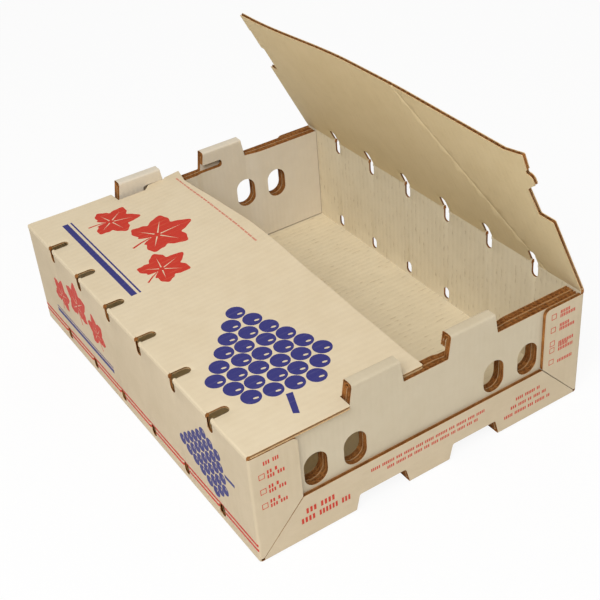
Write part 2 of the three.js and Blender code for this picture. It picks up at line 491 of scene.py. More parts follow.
@dataclass(frozen=True)
class KraftFinish:
    """Unbleached brown paper, as on cut edges and the fluted medium."""

    name: str
    light: Screen
    dark: Screen

    def make(self) -> bpy.types.Material:
        """Builds the material, with a fine grain over soft patches.

        Returns:
            The material.
        """
        book = new_material(self.name)
        place = book.place("Object")
        grain = book.noise(place, 1500.0, 3.0, 0.7)
        patch = book.noise(place, 160.0, 2.0)
        tone = (grain * 0.6 + patch * 0.4).ramp(0.36, 0.64)
        return book.finish(
            {
                "Base Color": book.mix(tone, linear(self.light), linear(self.dark)),
                "Roughness": grain * 0.15 + 0.78,
                "Specular IOR Level": 0.25,
                "Normal": book.bump(grain, 0.00025),
            }
        )


@dataclass(frozen=True)
class InkFinish:
    """Flexographic ink, thinner over the valleys between the flutes and worn in specks."""

    name: str
    ink: Screen
    thin: Screen
    pitch: float = SIZES.single_pitch

    def make(self) -> bpy.types.Material:
        """Builds the material.

        Returns:
            The material.
        """
        book = new_material(self.name)
        uv = book.place("UV")
        speck = book.noise(book.stretched(uv, (1600.0, 2200.0, 1.0)), 1.0, 2.0)
        patch = book.noise(uv, 60.0, 3.0)
        wave = book.flute_wave(self.pitch)
        valley = (1.0 - wave).ramp(0.7, 1.0)
        wear = speck.ramp(0.6, 0.75) * 0.5 + valley * patch.ramp(0.4, 0.7) * 0.25
        return book.finish(
            {
                "Base Color": book.mix(wear, linear(self.ink), linear(self.thin)),
                "Roughness": patch * 0.15 + 0.5,
                "Specular IOR Level": 0.4,
                "Normal": book.bump(wave * 0.5 + speck * 0.2, 0.0002),
            }
        )


class Paper(IntEnum):
    """The material slots of every sheet."""

    OUTSIDE = 0
    INSIDE = 1
    EDGE = 2
    RIM = 3
    SCORE_HIGHLIGHT = 4


class Ink(Enum):
    """The two printing inks."""

    RED = "red"
    NAVY = "navy"


class Finishes:
    """Every material of the box, made once. Papers are in the order of Paper's slots."""

    def __init__(self) -> None:
        """Builds the materials."""
        # Painted shade: the wrap's outer paper is the lid's white liner in a darker tone, so the walls
        # and ends render darker than the lid.
        wrap_outside = LinerFinish("wrap_liner_painted_shade", (210, 193, 164), (197, 180, 149)).make()
        wrap_inside = LinerFinish(
            "wrap_inner_liner",
            (225, 212, 183),
            (214, 200, 170),
            fibre=(150, 122, 82),
            washboard=0.6,
            valley_shade=0.4,
            roughness=0.8,
        ).make()
        lid_outside = LinerFinish("lid_white_liner", (223, 207, 177), (213, 195, 163)).make()
        lid_inside = LinerFinish(
            "lid_inner_liner",
            (230, 210, 167),
            (220, 199, 153),
            fibre=(176, 148, 100),
            washboard=0.25,
            valley_shade=0.12,
            roughness=0.8,
        ).make()
        # Painted highlight: a paler paper along the slanted score on the lid's inner face.
        score = LinerFinish("score_painted_highlight", (240, 224, 190), (233, 216, 180)).make()
        # Painted light: both end panels show the same white liner, given here in two tones, lighter on
        # the back panel.
        front, back = [
            LinerFinish(name, paper, shade, pitch=SIZES.double_pitch, washboard=0.35).make()
            for name, paper, shade in (
                ("front_panel_liner", (207, 194, 168), (198, 184, 156)),
                ("back_panel_liner_painted_light", (222, 212, 194), (213, 202, 182)),
            )
        ]
        kraft = KraftFinish("kraft_flutes", (178, 120, 62), (132, 76, 28)).make()
        rim = KraftFinish("kraft_rim", (184, 132, 78), (146, 96, 48)).make()
        lid_rim = KraftFinish("pale_rim", (220, 190, 144), (198, 162, 112)).make()
        self.wrap = (wrap_outside, wrap_inside, kraft, rim)
        self.lid = (lid_outside, lid_inside, kraft, lid_rim, score)
        self.fold = (lid_outside, wrap_inside, kraft)
        self.panels = {
            "end_panel_front": (front, front, kraft, rim),
            "end_panel_back": (back, back, kraft, rim),
        }
        self.inks = {
            Ink.RED: InkFinish("red_ink", (198, 44, 22), (216, 120, 84)).make(),
            Ink.NAVY: InkFinish("navy_ink", (44, 44, 118), (96, 94, 140)).make(),
        }


# ---------------------------------------------------------------------------- folding


@dataclass(frozen=True)
class Station:
    """One place on a folded path: its distance in the blank, and its outer and inner points."""

    along: float
    outer: Span
    inner: Span

    def in_metres(self) -> "Station":
        """Returns a station given in millimetres in metres."""
        outer, inner = (tuple(c * MM for c in point) for point in (self.outer, self.inner))
        return Station(self.along * MM, outer, inner)


class FoldPath:
    """A path in a plane that a sheet follows, with a point on each of its faces."""

    def __init__(self, stations: Sequence[Station]) -> None:
        """Keeps the stations, which are in order along the path."""
        self.stations = list(stations)

    def at(self, along: float) -> tuple[Vector, Vector]:
        """Finds the outer and inner points at a distance in the blank.

        Args:
            along: Distance in the blank, in metres.

        Returns:
            The outer and the inner point, in the path's plane.
        """
        last = len(self.stations) - 2
        index = next((i for i in range(last + 1) if along <= self.stations[i + 1].along), last)
        first, second = self.stations[index], self.stations[index + 1]
        share = (along - first.along) / (second.along - first.along)
        return (
            Vector(first.outer).lerp(Vector(second.outer), share),
            Vector(first.inner).lerp(Vector(second.inner), share),
        )

    @property
    def cuts(self) -> list[float]:
        """Distances at which the sheet needs an edge so that it can bend."""
        return [s.along for s in self.stations[1:-1]]


def square_fold(
    start: float, point: Vector, incoming: Vector, turned: Vector, board: float
) -> list[Station]:
    """Makes the stations of a square fold.

    Args:
        start: Distance in the blank where the fold starts.
        point: The sharp outer corner.
        incoming: Direction of the path before the fold.
        turned: Direction after it, which is also inwards from the outer face before it.
        board: Thickness of the board.

    Returns:
        The stations from the start of the fold to its end.
    """
    outer_radius = SIZES.fold_radius * MM
    inner_radius = SIZES.inner_fold_radius * MM
    reach = board + inner_radius
    flat = reach - outer_radius
    arc = outer_radius * math.pi / 2
    before = point - incoming * reach
    after = point + turned * reach
    outer_centre = point - incoming * outer_radius + turned * outer_radius
    inner_centre = before + turned * reach
    stations = [Station(start, tuple(before), tuple(before + turned * board))]
    for i in range(ROUND_STEPS + 1):
        angle = math.pi / 2 * i / ROUND_STEPS
        outer, inner = (
            centre + (incoming * radius * math.sin(angle) - turned * radius * math.cos(angle))
            for centre, radius in ((outer_centre, outer_radius), (inner_centre, inner_radius))
        )
        place = start + flat + arc * i / ROUND_STEPS
        stations.append(Station(place, tuple(outer), tuple(inner)))
    end = start + 2 * flat + arc
    stations.append(Station(end, tuple(after), tuple(after - incoming * board)))
    return stations


def folded_up(half: float, rise: float) -> FoldPath:
    """Makes the wrap's path from the middle of the floor out, over a square fold and up.

    Args:
        half: Distance from the middle to the fold's sharp outer corner, in metres.
        rise: Length of the flat after the fold, in metres.

    Returns:
        The path, whose first direction is outwards and second one upwards.
    """
    board = SIZES.board * MM
    reach = SIZES.fold_reach * MM
    fold = square_fold(half - reach, Vector((half, 0)), Vector((1, 0)), Vector((0, 1)), board)
    top = reach + rise
    end = Station(fold[-1].along + rise, (half, top), (half - board, top))
    return FoldPath([Station(0.0, (0.0, 0.0), (0.0, board)), *fold, end])


# ---------------------------------------------------------------------------- board


@dataclass(frozen=True)
class Board:
    """A kind of corrugated board. Lengths are in metres."""

    thickness: float
    rows: int
    pitch: float
    liner: float = 0.45 * MM
    medium: float = 0.3 * MM
    phase: float = 0.0

    @property
    def row_depth(self) -> float:
        """Depth of one row of flutes with one of its liners."""
        return (self.thickness - self.liner) / self.rows

    def liner_depth(self, index: int) -> float:
        """Returns the depth of the outer face of a liner, counted from the outside."""
        return index * self.row_depth

    def flute_depth(self, across: float, row: int) -> float:
        """Finds the middle of the fluted medium.

        Args:
            across: Place across the flutes.
            row: Which row of flutes, counted from the outside.

        Returns:
            Its depth there.
        """
        middle = self.liner_depth(row) + self.liner + (self.row_depth - self.liner) / 2
        swing = (self.row_depth - self.liner) / 2 - self.medium * 0.4
        return middle + swing * math.sin(2 * math.pi * (across - self.phase) / self.pitch)


@dataclass(frozen=True)
class Blank:
    """The flat outline of a sheet or a printed shape, and the loops cut out of it."""

    outline: Loop
    holes: tuple[Loop, ...] = ()

    def mirrored(self, along: int = 1, across: int = 1) -> "Blank":
        """Returns the blank with its places multiplied by 1 or -1 in each direction."""
        holes = tuple(mirrored(hole, along, across) for hole in self.holes)
        return Blank(mirrored(self.outline, along, across), holes)

    def fill(self) -> bmesh.types.BMesh:
        """Fills the blank.

        Returns:
            Flat faces at depth zero, with the corners rounded.
        """
        bm = bmesh.new()
        for loop in (self.outline, *self.holes):
            verts = [bm.verts.new((a, b, 0.0)) for a, b, _ in loop]
            bm.faces.new(verts)
            for vert, (_, _, rounding) in zip(verts, loop):
                if rounding > 0:
                    bmesh.ops.bevel(
                        bm,
                        geom=[vert],
                        offset=rounding,
                        offset_type="OFFSET",
                        affect="VERTICES",
                        segments=ROUND_STEPS,
                        profile=0.5,
                        material=-1,
                    )
        bmesh.ops.delete(bm, geom=bm.faces[:], context="FACES_ONLY")
        bmesh.ops.triangle_fill(bm, edges=bm.edges[:], use_beauty=True)
        return bm

    def span(self) -> tuple[float, float, float, float]:
        """Returns the lowest and highest place along, then across."""
        along, across, _ = zip(*self.outline)
        return min(along), max(along), min(across), max(across)


# ---------------------------------------------------------------------------- meshes


def pulled_out(
    bm: bmesh.types.BMesh, faces: Sequence[bmesh.types.BMFace], run: tuple[float, float, float]
) -> list[bmesh.types.BMVert]:
    """Extrudes faces into a closed block.

    Args:
        bm: The mesh that holds them.
        faces: The faces.
        run: How far they are moved.

    Returns:
        The vertices of the moved end.
    """
    made = bmesh.ops.extrude_face_region(bm, geom=faces)
    fresh = [g for g in made["geom"] if isinstance(g, bmesh.types.BMVert)]
    bmesh.ops.translate(bm, verts=fresh, vec=run)
    return fresh


def face_outwards(bm: bmesh.types.BMesh) -> None:
    """Turns the faces of one closed shell outwards.

    The recalculation alone may leave a thin shell inside out, so its volume decides.

    Args:
        bm: The shell.
    """
    bmesh.ops.recalc_face_normals(bm, faces=bm.faces[:])
    if bm.calc_volume(signed=True) < 0.0:
        bmesh.ops.reverse_faces(bm, faces=bm.faces[:])


def thicken(bm: bmesh.types.BMesh, low: float, high: float) -> None:
    """Turns flat faces into a closed plate.

    Args:
        bm: The mesh of flat faces.
        low: Depth of the plate's outer face.
        high: Depth of its inner face.
    """
    bmesh.ops.translate(bm, verts=bm.verts[:], vec=(0, 0, low))
    pulled_out(bm, bm.faces[:], (0, 0, high - low))
    face_outwards(bm)


def slice_mesh(bm: bmesh.types.BMesh, points: Iterable[Vector], normal: Vector) -> None:
    """Adds edges where planes meet the mesh.

    Args:
        bm: The mesh.
        points: A point on each plane.
        normal: The planes' normal.
    """
    for point in points:
        bmesh.ops.bisect_plane(
            bm,
            geom=bm.verts[:] + bm.edges[:] + bm.faces[:],
            dist=1e-7,
            plane_co=point,
            plane_no=normal,
        )


def joined(parts: Iterable[bmesh.types.BMesh]) -> bmesh.types.BMesh:
    """Joins meshes into one.

    Args:
        parts: The meshes, which are freed.

    Returns:
        The joined mesh.
    """
    whole = bmesh.new()
    for part in parts:
        mesh = bpy.data.meshes.new("part")
        part.to_mesh(mesh)
        part.free()
        whole.from_mesh(mesh)
        bpy.data.meshes.remove(mesh)
    return whole


def to_object(bm: bmesh.types.BMesh, name: str) -> bpy.types.Object:
    """Puts a mesh in the scene.

    Args:
        bm: The mesh, which is freed.
        name: The new object's name.

    Returns:
        The object, at the origin.
    """
    mesh = bpy.data.meshes.new(name)
    bm.to_mesh(mesh)
    bm.free()
    made = bpy.data.objects.new(name, mesh)
    bpy.context.scene.collection.objects.link(made)
    return made


def dressed(
    bm: bmesh.types.BMesh, name: str, papers: Sequence[bpy.types.Material]
) -> bpy.types.Object:
    """Makes a finished piece of a mesh, shaded smooth except at its sharp edges.

    Args:
        bm: The mesh, which is freed.
        name: The piece's name.
        papers: Its materials, in the order of its slots.

    Returns:
        The piece, at the origin.
    """
    piece = to_object(bm, name)
    for paper in papers:
        piece.data.materials.append(paper)
    piece.data.polygons.foreach_set("use_smooth", [True] * len(piece.data.polygons))
    piece.data.set_sharp_from_angle(angle=math.radians(SHARP_ANGLE))
    return piece


def kept_inside(bm: bmesh.types.BMesh, cutter: bmesh.types.BMesh) -> bmesh.types.BMesh:
    """Keeps what of a mesh lies inside a closed cutter.

    Args:
        bm: The mesh to trim, which is freed.
        cutter: The closed mesh that bounds it, which is freed.

    Returns:
        The trimmed mesh.
    """
    work = to_object(bm, "trim_work")
    tool = to_object(cutter, "trim_tool")
    trim = work.modifiers.new("trim", "BOOLEAN")
    trim.operation = "INTERSECT"
    trim.solver = "EXACT"
    trim.object = tool
    kept = bmesh.new()
    kept.from_mesh(work.evaluated_get(bpy.context.evaluated_depsgraph_get()).to_mesh())
    for item in (work, tool):
        mesh = item.data
        bpy.data.objects.remove(item)
        bpy.data.meshes.remove(mesh)
    return kept


# ---------------------------------------------------------------------------- sheet


class Sheet:
    """A cut and folded sheet of corrugated board."""

    board: Board
    blank: Blank

    def place(self, along: float, across: float, depth: float) -> Vector:
        """Returns where a point of the flat sheet lies on the folded one."""
        raise NotImplementedError

    def along_cuts(self) -> list[float]:
        """Returns the places along the flutes at which the sheet may bend."""
        raise NotImplementedError

    def across_cuts(self) -> list[float]:
        """Returns the places across the flutes at which the sheet may bend."""
        raise NotImplementedError

    def slant_cuts(self, bm: bmesh.types.BMesh) -> None:
        """Adds edges for creases that run at a slant."""

    def bend_ready(self, bm: bmesh.types.BMesh, fluted: bool = False) -> None:
        """Adds the edges that a flat mesh needs before it is folded.

        Args:
            bm: The mesh.
            fluted: Whether it is a fluted medium, which has edges enough across the flutes.
        """
        slice_mesh(bm, (Vector((a, 0, 0)) for a in self.along_cuts()), Vector((1, 0, 0)))
        if not fluted:
            slice_mesh(bm, (Vector((0, a, 0)) for a in self.across_cuts()), Vector((0, 1, 0)))
            self.slant_cuts(bm)

    def prism(self) -> bmesh.types.BMesh:
        """Makes a cutter for what lies between the sheet's outer layers.

        Returns:
            The sheet's outline as a closed block, a little past both faces.
        """
        bm = self.blank.fill()
        thicken(bm, -MM, self.board.thickness + MM)
        return bm

    def paper_of(self, face: bmesh.types.BMFace, index: int) -> Paper:
        """Chooses the paper of a liner's face.

        Args:
            face: The face, on the flat liner.
            index: Which liner it is on, counted from the outside.

        Returns:
            The paper.
        """
        last = self.board.rows
        if index == 0 and face.normal.z < -0.5:
            return Paper.OUTSIDE
        if index == last and face.normal.z > 0.5:
            return Paper.INSIDE
        return Paper.RIM if index in (0, last) else Paper.EDGE

    def liner(self, index: int) -> bmesh.types.BMesh:
        """Makes one flat paper liner.

        Args:
            index: Which liner it is, counted from the outside.

        Returns:
            The liner.
        """
        bm = self.blank.fill()
        self.bend_ready(bm)
        low = self.board.liner_depth(index)
        thicken(bm, low, low + self.board.liner)
        for face in bm.faces:
            face.material_index = self.paper_of(face, index)
        return bm

    def flutes(self, row: int) -> bmesh.types.BMesh:
        """Makes one flat row of fluted medium, cut to the outline.

        Args:
            row: Which row it is, counted from the outside.

        Returns:
            The fluted medium.
        """
        low_a, high_a, low_b, high_b = self.blank.span()
        long, wide = high_a - low_a + 2 * MM, high_b - low_b + 2 * MM
        steps = math.ceil(wide / self.board.pitch * FLUTE_STEPS)
        bm = bmesh.new()
        bmesh.ops.create_grid(bm, x_segments=1, y_segments=steps, size=0.5)
        bmesh.ops.scale(bm, verts=bm.verts[:], vec=(long, wide, 1.0))
        middle = ((low_a + high_a) / 2, (low_b + high_b) / 2, 0.0)
        bmesh.ops.translate(bm, verts=bm.verts[:], vec=middle)
        for vert in bm.verts:
            vert.co.z = self.board.flute_depth(vert.co.y, row)
        bmesh.ops.solidify(bm, geom=bm.faces[:], thickness=self.board.medium)
        face_outwards(bm)
        trimmed = kept_inside(bm, self.prism())
        self.bend_ready(trimmed, fluted=True)
        for face in trimmed.faces:
            face.material_index = Paper.EDGE
        return trimmed

    def folded(self, bm: bmesh.types.BMesh) -> bmesh.types.BMesh:
        """Writes the flat places of a mesh as its UV map, and folds it.

        No fold mirrors a sheet, so faces that point outwards still do.

        Args:
            bm: The flat mesh.

        Returns:
            The same mesh, folded.
        """
        uv = bm.loops.layers.uv.new("sheet")
        for face in bm.faces:
            for loop in face.loops:
                loop[uv].uv = loop.vert.co.xy
        for vert in bm.verts:
            vert.co = self.place(*vert.co)
        return bm

    def build(self, name: str, papers: Sequence[bpy.types.Material]) -> bpy.types.Object:
        """Builds the whole sheet.

        Args:
            name: The piece's name.
            papers: Its materials, in the order of Paper's slots.

        Returns:
            The piece, at the origin.
        """
        layers = [self.liner(i) for i in range(self.board.rows + 1)]
        layers += [self.flutes(i) for i in range(self.board.rows)]
        return dressed(joined(self.folded(layer) for layer in layers), name, papers)

    def printed(
        self, name: str, shapes: Sequence[Blank], ink: bpy.types.Material
    ) -> bpy.types.Object:
        """Prints shapes on the sheet's outer face.

        Args:
            name: The piece's name.
            shapes: The printed shapes, in the sheet's flat places.
            ink: The ink's material.

        Returns:
            The film of ink, at the origin.
        """
        films = [shape.fill() for shape in shapes]
        for film in films:
            thicken(film, -INK_ABOVE * MM, INK_BELOW * MM)
        trimmed = kept_inside(joined(films), self.prism())
        self.bend_ready(trimmed)
        return dressed(self.folded(trimmed), name, (ink,))


# ---------------------------------------------------------------------------- wrap


@dataclass
class Wrap(Sheet):
    """Floor, side walls, corner flaps and bottom flaps, folded from one sheet.

    Along counts from the middle of the floor over the fold and up a wall. Across counts along the
    box and on over the end folds into the flaps. Sizes are in millimetres.
    """

    low_slot_heights: Span = (6.6, 22.2)
    high_slot_foot: float = SIZES.height - 19.2
    flap_run: float = 60.0
    slit: float = 0.4
    slit_end: float = 1.2
    low_corner: float = 0.8
    corner_cut: float = 0.6
    flap_rounding: float = 1.0
    corner_rounding: float = 6.0
    top_set_back: float = 1.6
    notch_rounding: Span = (1.5, 2.0)

    def __post_init__(self) -> None:
        """Lays out the folds and the blank."""
        self.board = Board(SIZES.board * MM, 1, SIZES.single_pitch * MM)
        reach = SIZES.fold_reach * MM
        self.cross = folded_up(SIZES.half_width * MM, SIZES.wall_top * MM - reach)
        self.ends = folded_up(SIZES.half_length * MM, self.flap_run * MM)
        low_foot, low_top = (self.wall_place(height) for height in self.low_slot_heights)
        self.low_row = Slots(low_foot, low_top)
        self.high_row = Slots(self.wall_place(self.high_slot_foot), self.wall_place(SIZES.height))
        self.blank = Blank(self._outline(), (*self._notches(), *self._low_slots()))

    def wall_place(self, height: float) -> float:
        """Returns the place along the blank of a height on a wall, in millimetres."""
        return SIZES.half_width + SIZES.fold_extra + height

    def flap_place(self, height: float) -> float:
        """Returns the place across the blank of a distance up an end flap, in millimetres."""
        return SIZES.half_length + SIZES.fold_extra + height

    def _quarter(self) -> list[Corner]:
        """Makes a quarter of the outline, with the slit between the bottom and corner flaps.

        Returns:
            The corners, from a bottom flap's free edge round to the wall's top.
        """
        low = SIZES.board + self.low_corner
        foot = SIZES.half_width - low
        flap = SIZES.half_width - SIZES.corner_flap - self.slit
        side = SIZES.bottom_flap + self.slit
        top = self.wall_place(SIZES.wall_top - self.slit / 2)
        return [
            corner(flap, self.flap_place(SIZES.bottom_flap), self.flap_rounding),
            corner(foot - self.slit, self.flap_place(low)),
            corner(foot - self.slit / 2, self.flap_place(self.slit_end)),
            corner(self.wall_place(low + self.slit / 2), self.flap_place(self.slit_end)),
            corner(self.wall_place(low + self.slit), self.flap_place(low)),
            corner(self.wall_place(side), self.flap_place(SIZES.corner_flap - self.corner_cut)),
            corner(
                self.wall_place(side + self.corner_cut),
                self.flap_place(SIZES.corner_flap),
                self.flap_rounding,
            ),
            corner(top, self.flap_place(SIZES.corner_flap), self.corner_rounding),
            corner(top, self.flap_place(SIZES.board + self.slit)),
            corner(self.wall_place(SIZES.wall_top), self.flap_place(-self.top_set_back)),
        ]

    def _outline(self) -> Loop:
        """Makes the blank's whole outline.

        Returns:
            The outline, with the high air slots open at the walls' tops.
        """
        quarter = self._quarter()
        edge = self.wall_place(SIZES.wall_top)
        slots = open_slots(edge, self.wall_place(self.high_slot_foot), SIZES.vent_width / 2)
        right = [*quarter, *slots, *reversed(mirrored(tuple(quarter), across=-1))]
        return tuple([*right, *reversed(mirrored(tuple(right), along=-1))])

    def _notches(self) -> list[Loop]:
        """Makes the four notches at the foot of the ends, in which a lower box's tabs stand.

        Returns:
            The notches, which run from the floor over the fold into the bottom flaps.
        """
        floor_rounding, flap_rounding = self.notch_rounding
        foot, top = SIZES.notch_foot_half, SIZES.notch_top_half
        deep = SIZES.half_length - SIZES.notch_depth
        fold = self.flap_place(0)
        high = self.flap_place(SIZES.notch_height)
        return [
            (
                corner(centre - foot, end * deep, floor_rounding),
                corner(centre + foot, end * deep, floor_rounding),
                corner(centre + foot, end * fold),
                corner(centre + top, end * high, flap_rounding),
                corner(centre - top, end * high, flap_rounding),
                corner(centre - foot, end * fold),
            )
            for end in (1, -1)
            for centre in (SIZES.tab_centre, -SIZES.tab_centre)
        ]

    def _low_slots(self) -> list[Loop]:
        """Makes the air slots at the foot of the walls.

        Returns:
            The slots of the right wall, then of the left one.
        """
        row = self.low_row
        slots = [
            box_loop((row.foot, row.top), (vent - row.half, vent + row.half), row.half * ROUND_END)
            for vent in SIZES.vents
        ]
        return [mirrored(slot, along=side) for side in (1, -1) for slot in slots]

    def along_cuts(self) -> list[float]:
        """Finds the bends of the cross section and the ends of the slots' pressed rims.

        Returns:
            Their places on both sides of the middle, in order.
        """
        low, high = self.low_row, self.high_row
        rims = (low.foot - low.ramp, low.top + low.ramp, high.foot - high.ramp)
        cuts = [*self.cross.cuts, *(rim * MM for rim in rims)]
        return sorted({*cuts, *(-c for c in cuts)})

    def across_cuts(self) -> list[float]:
        """Returns the bends of the end flaps and the sides of the slots' pressed rims."""
        cuts = self.ends.cuts
        return sorted({*cuts, *(-c for c in cuts), *self.low_row.across_cuts()})

    def place(self, along: float, across: float, depth: float) -> Vector:
        """Folds one point up the walls and in over the ends.

        Args:
            along: Its place along the flutes of the blank.
            across: Its place across them.
            depth: Its depth from the outer face.

        Returns:
            Where it lies on the box.
        """
        rows = (self.low_row, self.high_row)
        left = min(row.pressed(abs(along) / MM, across / MM) for row in rows)
        half = self.board.thickness / 2
        share = (half + (depth - half) * left) / self.board.thickness
        outer, inner = self.cross.at(abs(along))
        face, back = self.ends.at(abs(across))
        normal = (inner - outer) / self.board.thickness
        reach = face.lerp(back, share)
        spot = outer + normal * reach.y
        side = -1 if along < 0 else 1
        end = -1 if across < 0 else 1
        return Vector((side * spot.x, end * reach.x, spot.y))


@dataclass(frozen=True)
class LidFolds:
    """The creased folds along the tops of the side walls, between the air slots.

    Each is a bead that is round above the hinge line and square below it, where the skirt draws
    it down over the wall's edge. Sizes are in millimetres.
    """

    radius: float = SIZES.board / 2 + 0.03
    end: float = SIZES.half_length - 1.2
    skirt: float = 1.35
    segments: int = 32

    def stretches(self) -> list[Span]:
        """Splits the fold at the air slots.

        Returns:
            Where each length of fold starts and ends along the box.
        """
        half = SIZES.vent_width / 2
        stops = [-self.end, *(v + side * half for v in SIZES.vents for side in (-1, 1)), self.end]
        return list(zip(stops[::2], stops[1::2]))

    def bead(self, bm: bmesh.types.BMesh, side: int, stretch: Span) -> None:
        """Adds one length of fold to a mesh.

        Args:
            bm: The mesh.
            side: 1 for the right wall and -1 for the left one.
            stretch: Where the length starts and ends along the box.
        """
        low, high = stretch
        radius = self.radius * MM
        made = bmesh.ops.create_circle(bm, cap_ends=True, segments=self.segments, radius=radius)
        verts = made["verts"]
        for vert in verts:
            if vert.co.y < -0.01 * MM:
                across = math.copysign(radius, vert.co.x + 1e-6)
                vert.co = Vector((across, vert.co.y * self.skirt, 0))
        fresh = pulled_out(bm, [verts[0].link_faces[0]], (0, 0, (high - low) * MM))
        for vert in [*verts, *fresh]:
            across, up, deep = vert.co
            vert.co = Vector(
                (
                    side * (SIZES.hinge_offset * MM + across),
                    low * MM + deep,
                    SIZES.hinge_height * MM + up,
                )
            )

    def build(
        self, side: int, name: str, papers: Sequence[bpy.types.Material]
    ) -> bpy.types.Object:
        """Builds one side's fold.

        Args:
            side: 1 for the right wall and -1 for the left one.
            name: The piece's name.
            papers: Materials for the outside, the inside and the ends.

        Returns:
            The piece, at the origin.
        """
        bm = bmesh.new()
        for stretch in self.stretches():
            self.bead(bm, side, stretch)
        bmesh.ops.recalc_face_normals(bm, faces=bm.faces[:])
        uv = bm.loops.layers.uv.new("sheet")
        for face in bm.faces:
            outward = face.normal.x * side > -0.2
            face.material_index = Paper.OUTSIDE if outward else Paper.INSIDE
            if abs(face.normal.y) > 0.9:
                face.material_index = Paper.EDGE
            for loop in face.loops:
                loop[uv].uv = (loop.vert.co.z + SIZES.half_width * MM, loop.vert.co.y)
        return dressed(bm, name, papers)


# ---------------------------------------------------------------------------- end panels


@dataclass
class EndPanel(Sheet):
    """A sheet of double-wall board folded over at its two tabs into two layers.

    Along counts up the outer layer from its foot, over the tabs and down the inner one. Across is
    the place across the box. Each layer swells where the tabs' folds don't press it. The slot that
    takes a flap's lock finger arches up over it, higher on the near panel (-1) than on the far one.
    Sizes are in millimetres.
    """

    end: int
    flute_phase: float = 1.4
    foot_gap: float = 1.2
    side_gap: float = 0.7
    crown_radius: float = 2.4
    crown_steps: int = 5
    crown_drop: float = 1.0
    slit: float = 0.15
    shoulder: float = SIZES.tab_top - 4.0
    notch_ease: float = 1.3
    sill: float = SIZES.wall_top - 2.5
    lock_width: float = 28.4
    lock_rise: float = 7.0
    lock_stub: float = 3.6
    near_arch: float = 13.4
    far_arch: float = 8.8
    swell: float = 1.8
    swell_between: float = 0.6
    between_tabs: Span = (16.0, 26.0)
    beside_tabs: Span = (88.0, 110.0)
    swell_cuts: tuple[float, ...] = (16, 18.5, 21, 23.5, 26, 88, 92, 96, 100, 105, 110)

    def __post_init__(self) -> None:
        """Lays out the fold and the blank."""
        pitch = SIZES.double_pitch * MM
        self.board = Board(SIZES.panel_board * MM, 2, pitch, phase=self.flute_phase * MM)
        self._fold_over()
        self.blank = Blank(self._outline(), (*self._hand_holes(), self._gap()))

    def _crown(self, outer: float, inner: float) -> list[Span]:
        """Makes the outer face's path over a tab: two quarter rounds with a flat between them.

        Args:
            outer: Place along the box of the outer layer's face.
            inner: Place of the inner layer's face.

        Returns:
            Points along the box and up.
        """
        radius = self.crown_radius
        spring = SIZES.tab_top - radius
        turns = [math.pi / 2 * i / self.crown_steps for i in range(self.crown_steps + 1)]
        return [
            *((outer + radius - radius * math.cos(a), spring + radius * math.sin(a)) for a in turns),
            *((inner - radius + radius * math.sin(a), spring + radius * math.cos(a)) for a in turns),
        ]

    def _fold_over(self) -> None:
        """Lays out the path over the tabs, and notes the places of its top and of its end."""
        foot = SIZES.panel_foot
        outer, inner = -SIZES.panel_outer, -SIZES.panel_outer + 2 * SIZES.panel_board
        middle = (outer + inner) / 2
        front, behind = middle - self.slit, middle + self.slit
        bend = SIZES.tab_top - SIZES.panel_board - self.crown_drop
        crown = self._crown(outer, inner)
        steps = [math.dist(a, b) for a, b in zip([(outer, bend), *crown], crown)]
        total = sum(steps) + math.dist(crown[-1], (inner, bend))
        self.top = bend + total / 2
        self.last = bend + total + (bend - foot)
        stations = [
            Station(foot, (outer, foot), (front, foot)),
            Station(bend, (outer, bend), (front, bend)),
        ]
        walked = 0.0
        for step, point in zip(steps, crown):
            walked += step
            turn = math.pi * walked / total
            tight = (middle - self.slit * math.cos(turn), bend + math.sin(turn))
            stations.append(Station(bend + walked, point, tight))
        stations += [
            Station(bend + total, (inner, bend), (behind, bend)),
            Station(self.last, (inner, foot), (behind, foot)),
        ]
        self.path = FoldPath([station.in_metres() for station in stations])

    def inner_place(self, height: float) -> float:
        """Returns the place along the blank of a height on the inner layer, in millimetres."""
        return self.last - (height - SIZES.panel_foot)

    def _lean(self, height: float) -> float:
        """Returns how far a tab's side has leaned in at a height, in millimetres."""
        return SIZES.tab_slope * (height - SIZES.wall_top)

    def _half(self) -> list[Corner]:
        """Makes the right half of the outline, with a foot notch and a tab's outer side.

        Returns:
            The corners, from the outer layer's foot over the tab to the inner layer's.
        """
        half = SIZES.half_width - SIZES.board - self.side_gap
        foot, wall, tab = SIZES.panel_foot, SIZES.wall_top, SIZES.tab_centre
        notch = SIZES.notch_foot_half - self.notch_ease
        outer = [
            corner(foot, tab - notch),
            corner(SIZES.notch_height, tab - SIZES.notch_top_half, 2.0),
            corner(SIZES.notch_height, tab + SIZES.notch_top_half, 2.0),
            corner(foot, tab + notch),
            corner(foot, half, 1.0),
            corner(wall, half, 1.0),
            corner(wall, tab + SIZES.tab_foot_half, 1.0),
            corner(self.shoulder, tab + SIZES.tab_foot_half - self._lean(self.shoulder)),
        ]
        inner = [
            corner(self.inner_place(max(a / MM, foot + self.foot_gap)), b / MM, r / MM)
            for a, b, r in reversed(outer)
        ]
        return [*outer, corner(self.top, tab + SIZES.tab_top_half), *inner]

    def _outline(self) -> Loop:
        """Returns the blank's outline, round both halves."""
        right = tuple(self._half())
        return (*right, *reversed(mirrored(right, across=-1)))

    def _hand_holes(self) -> list[Loop]:
        """Makes the upright hand holes.

        Returns:
            The holes of the outer and the inner layer by turns.
        """
        low = SIZES.hole_height_centre - SIZES.hole_height / 2
        high = SIZES.hole_height_centre + SIZES.hole_height / 2
        half = SIZES.hole_width / 2
        layers = ((low, high), (self.inner_place(high), self.inner_place(low)))
        return [
            box_loop(along, (side * centre - half, side * centre + half), half * ROUND_END)
            for side in (1, -1)
            for centre in SIZES.hole_centres
            for along in layers
        ]

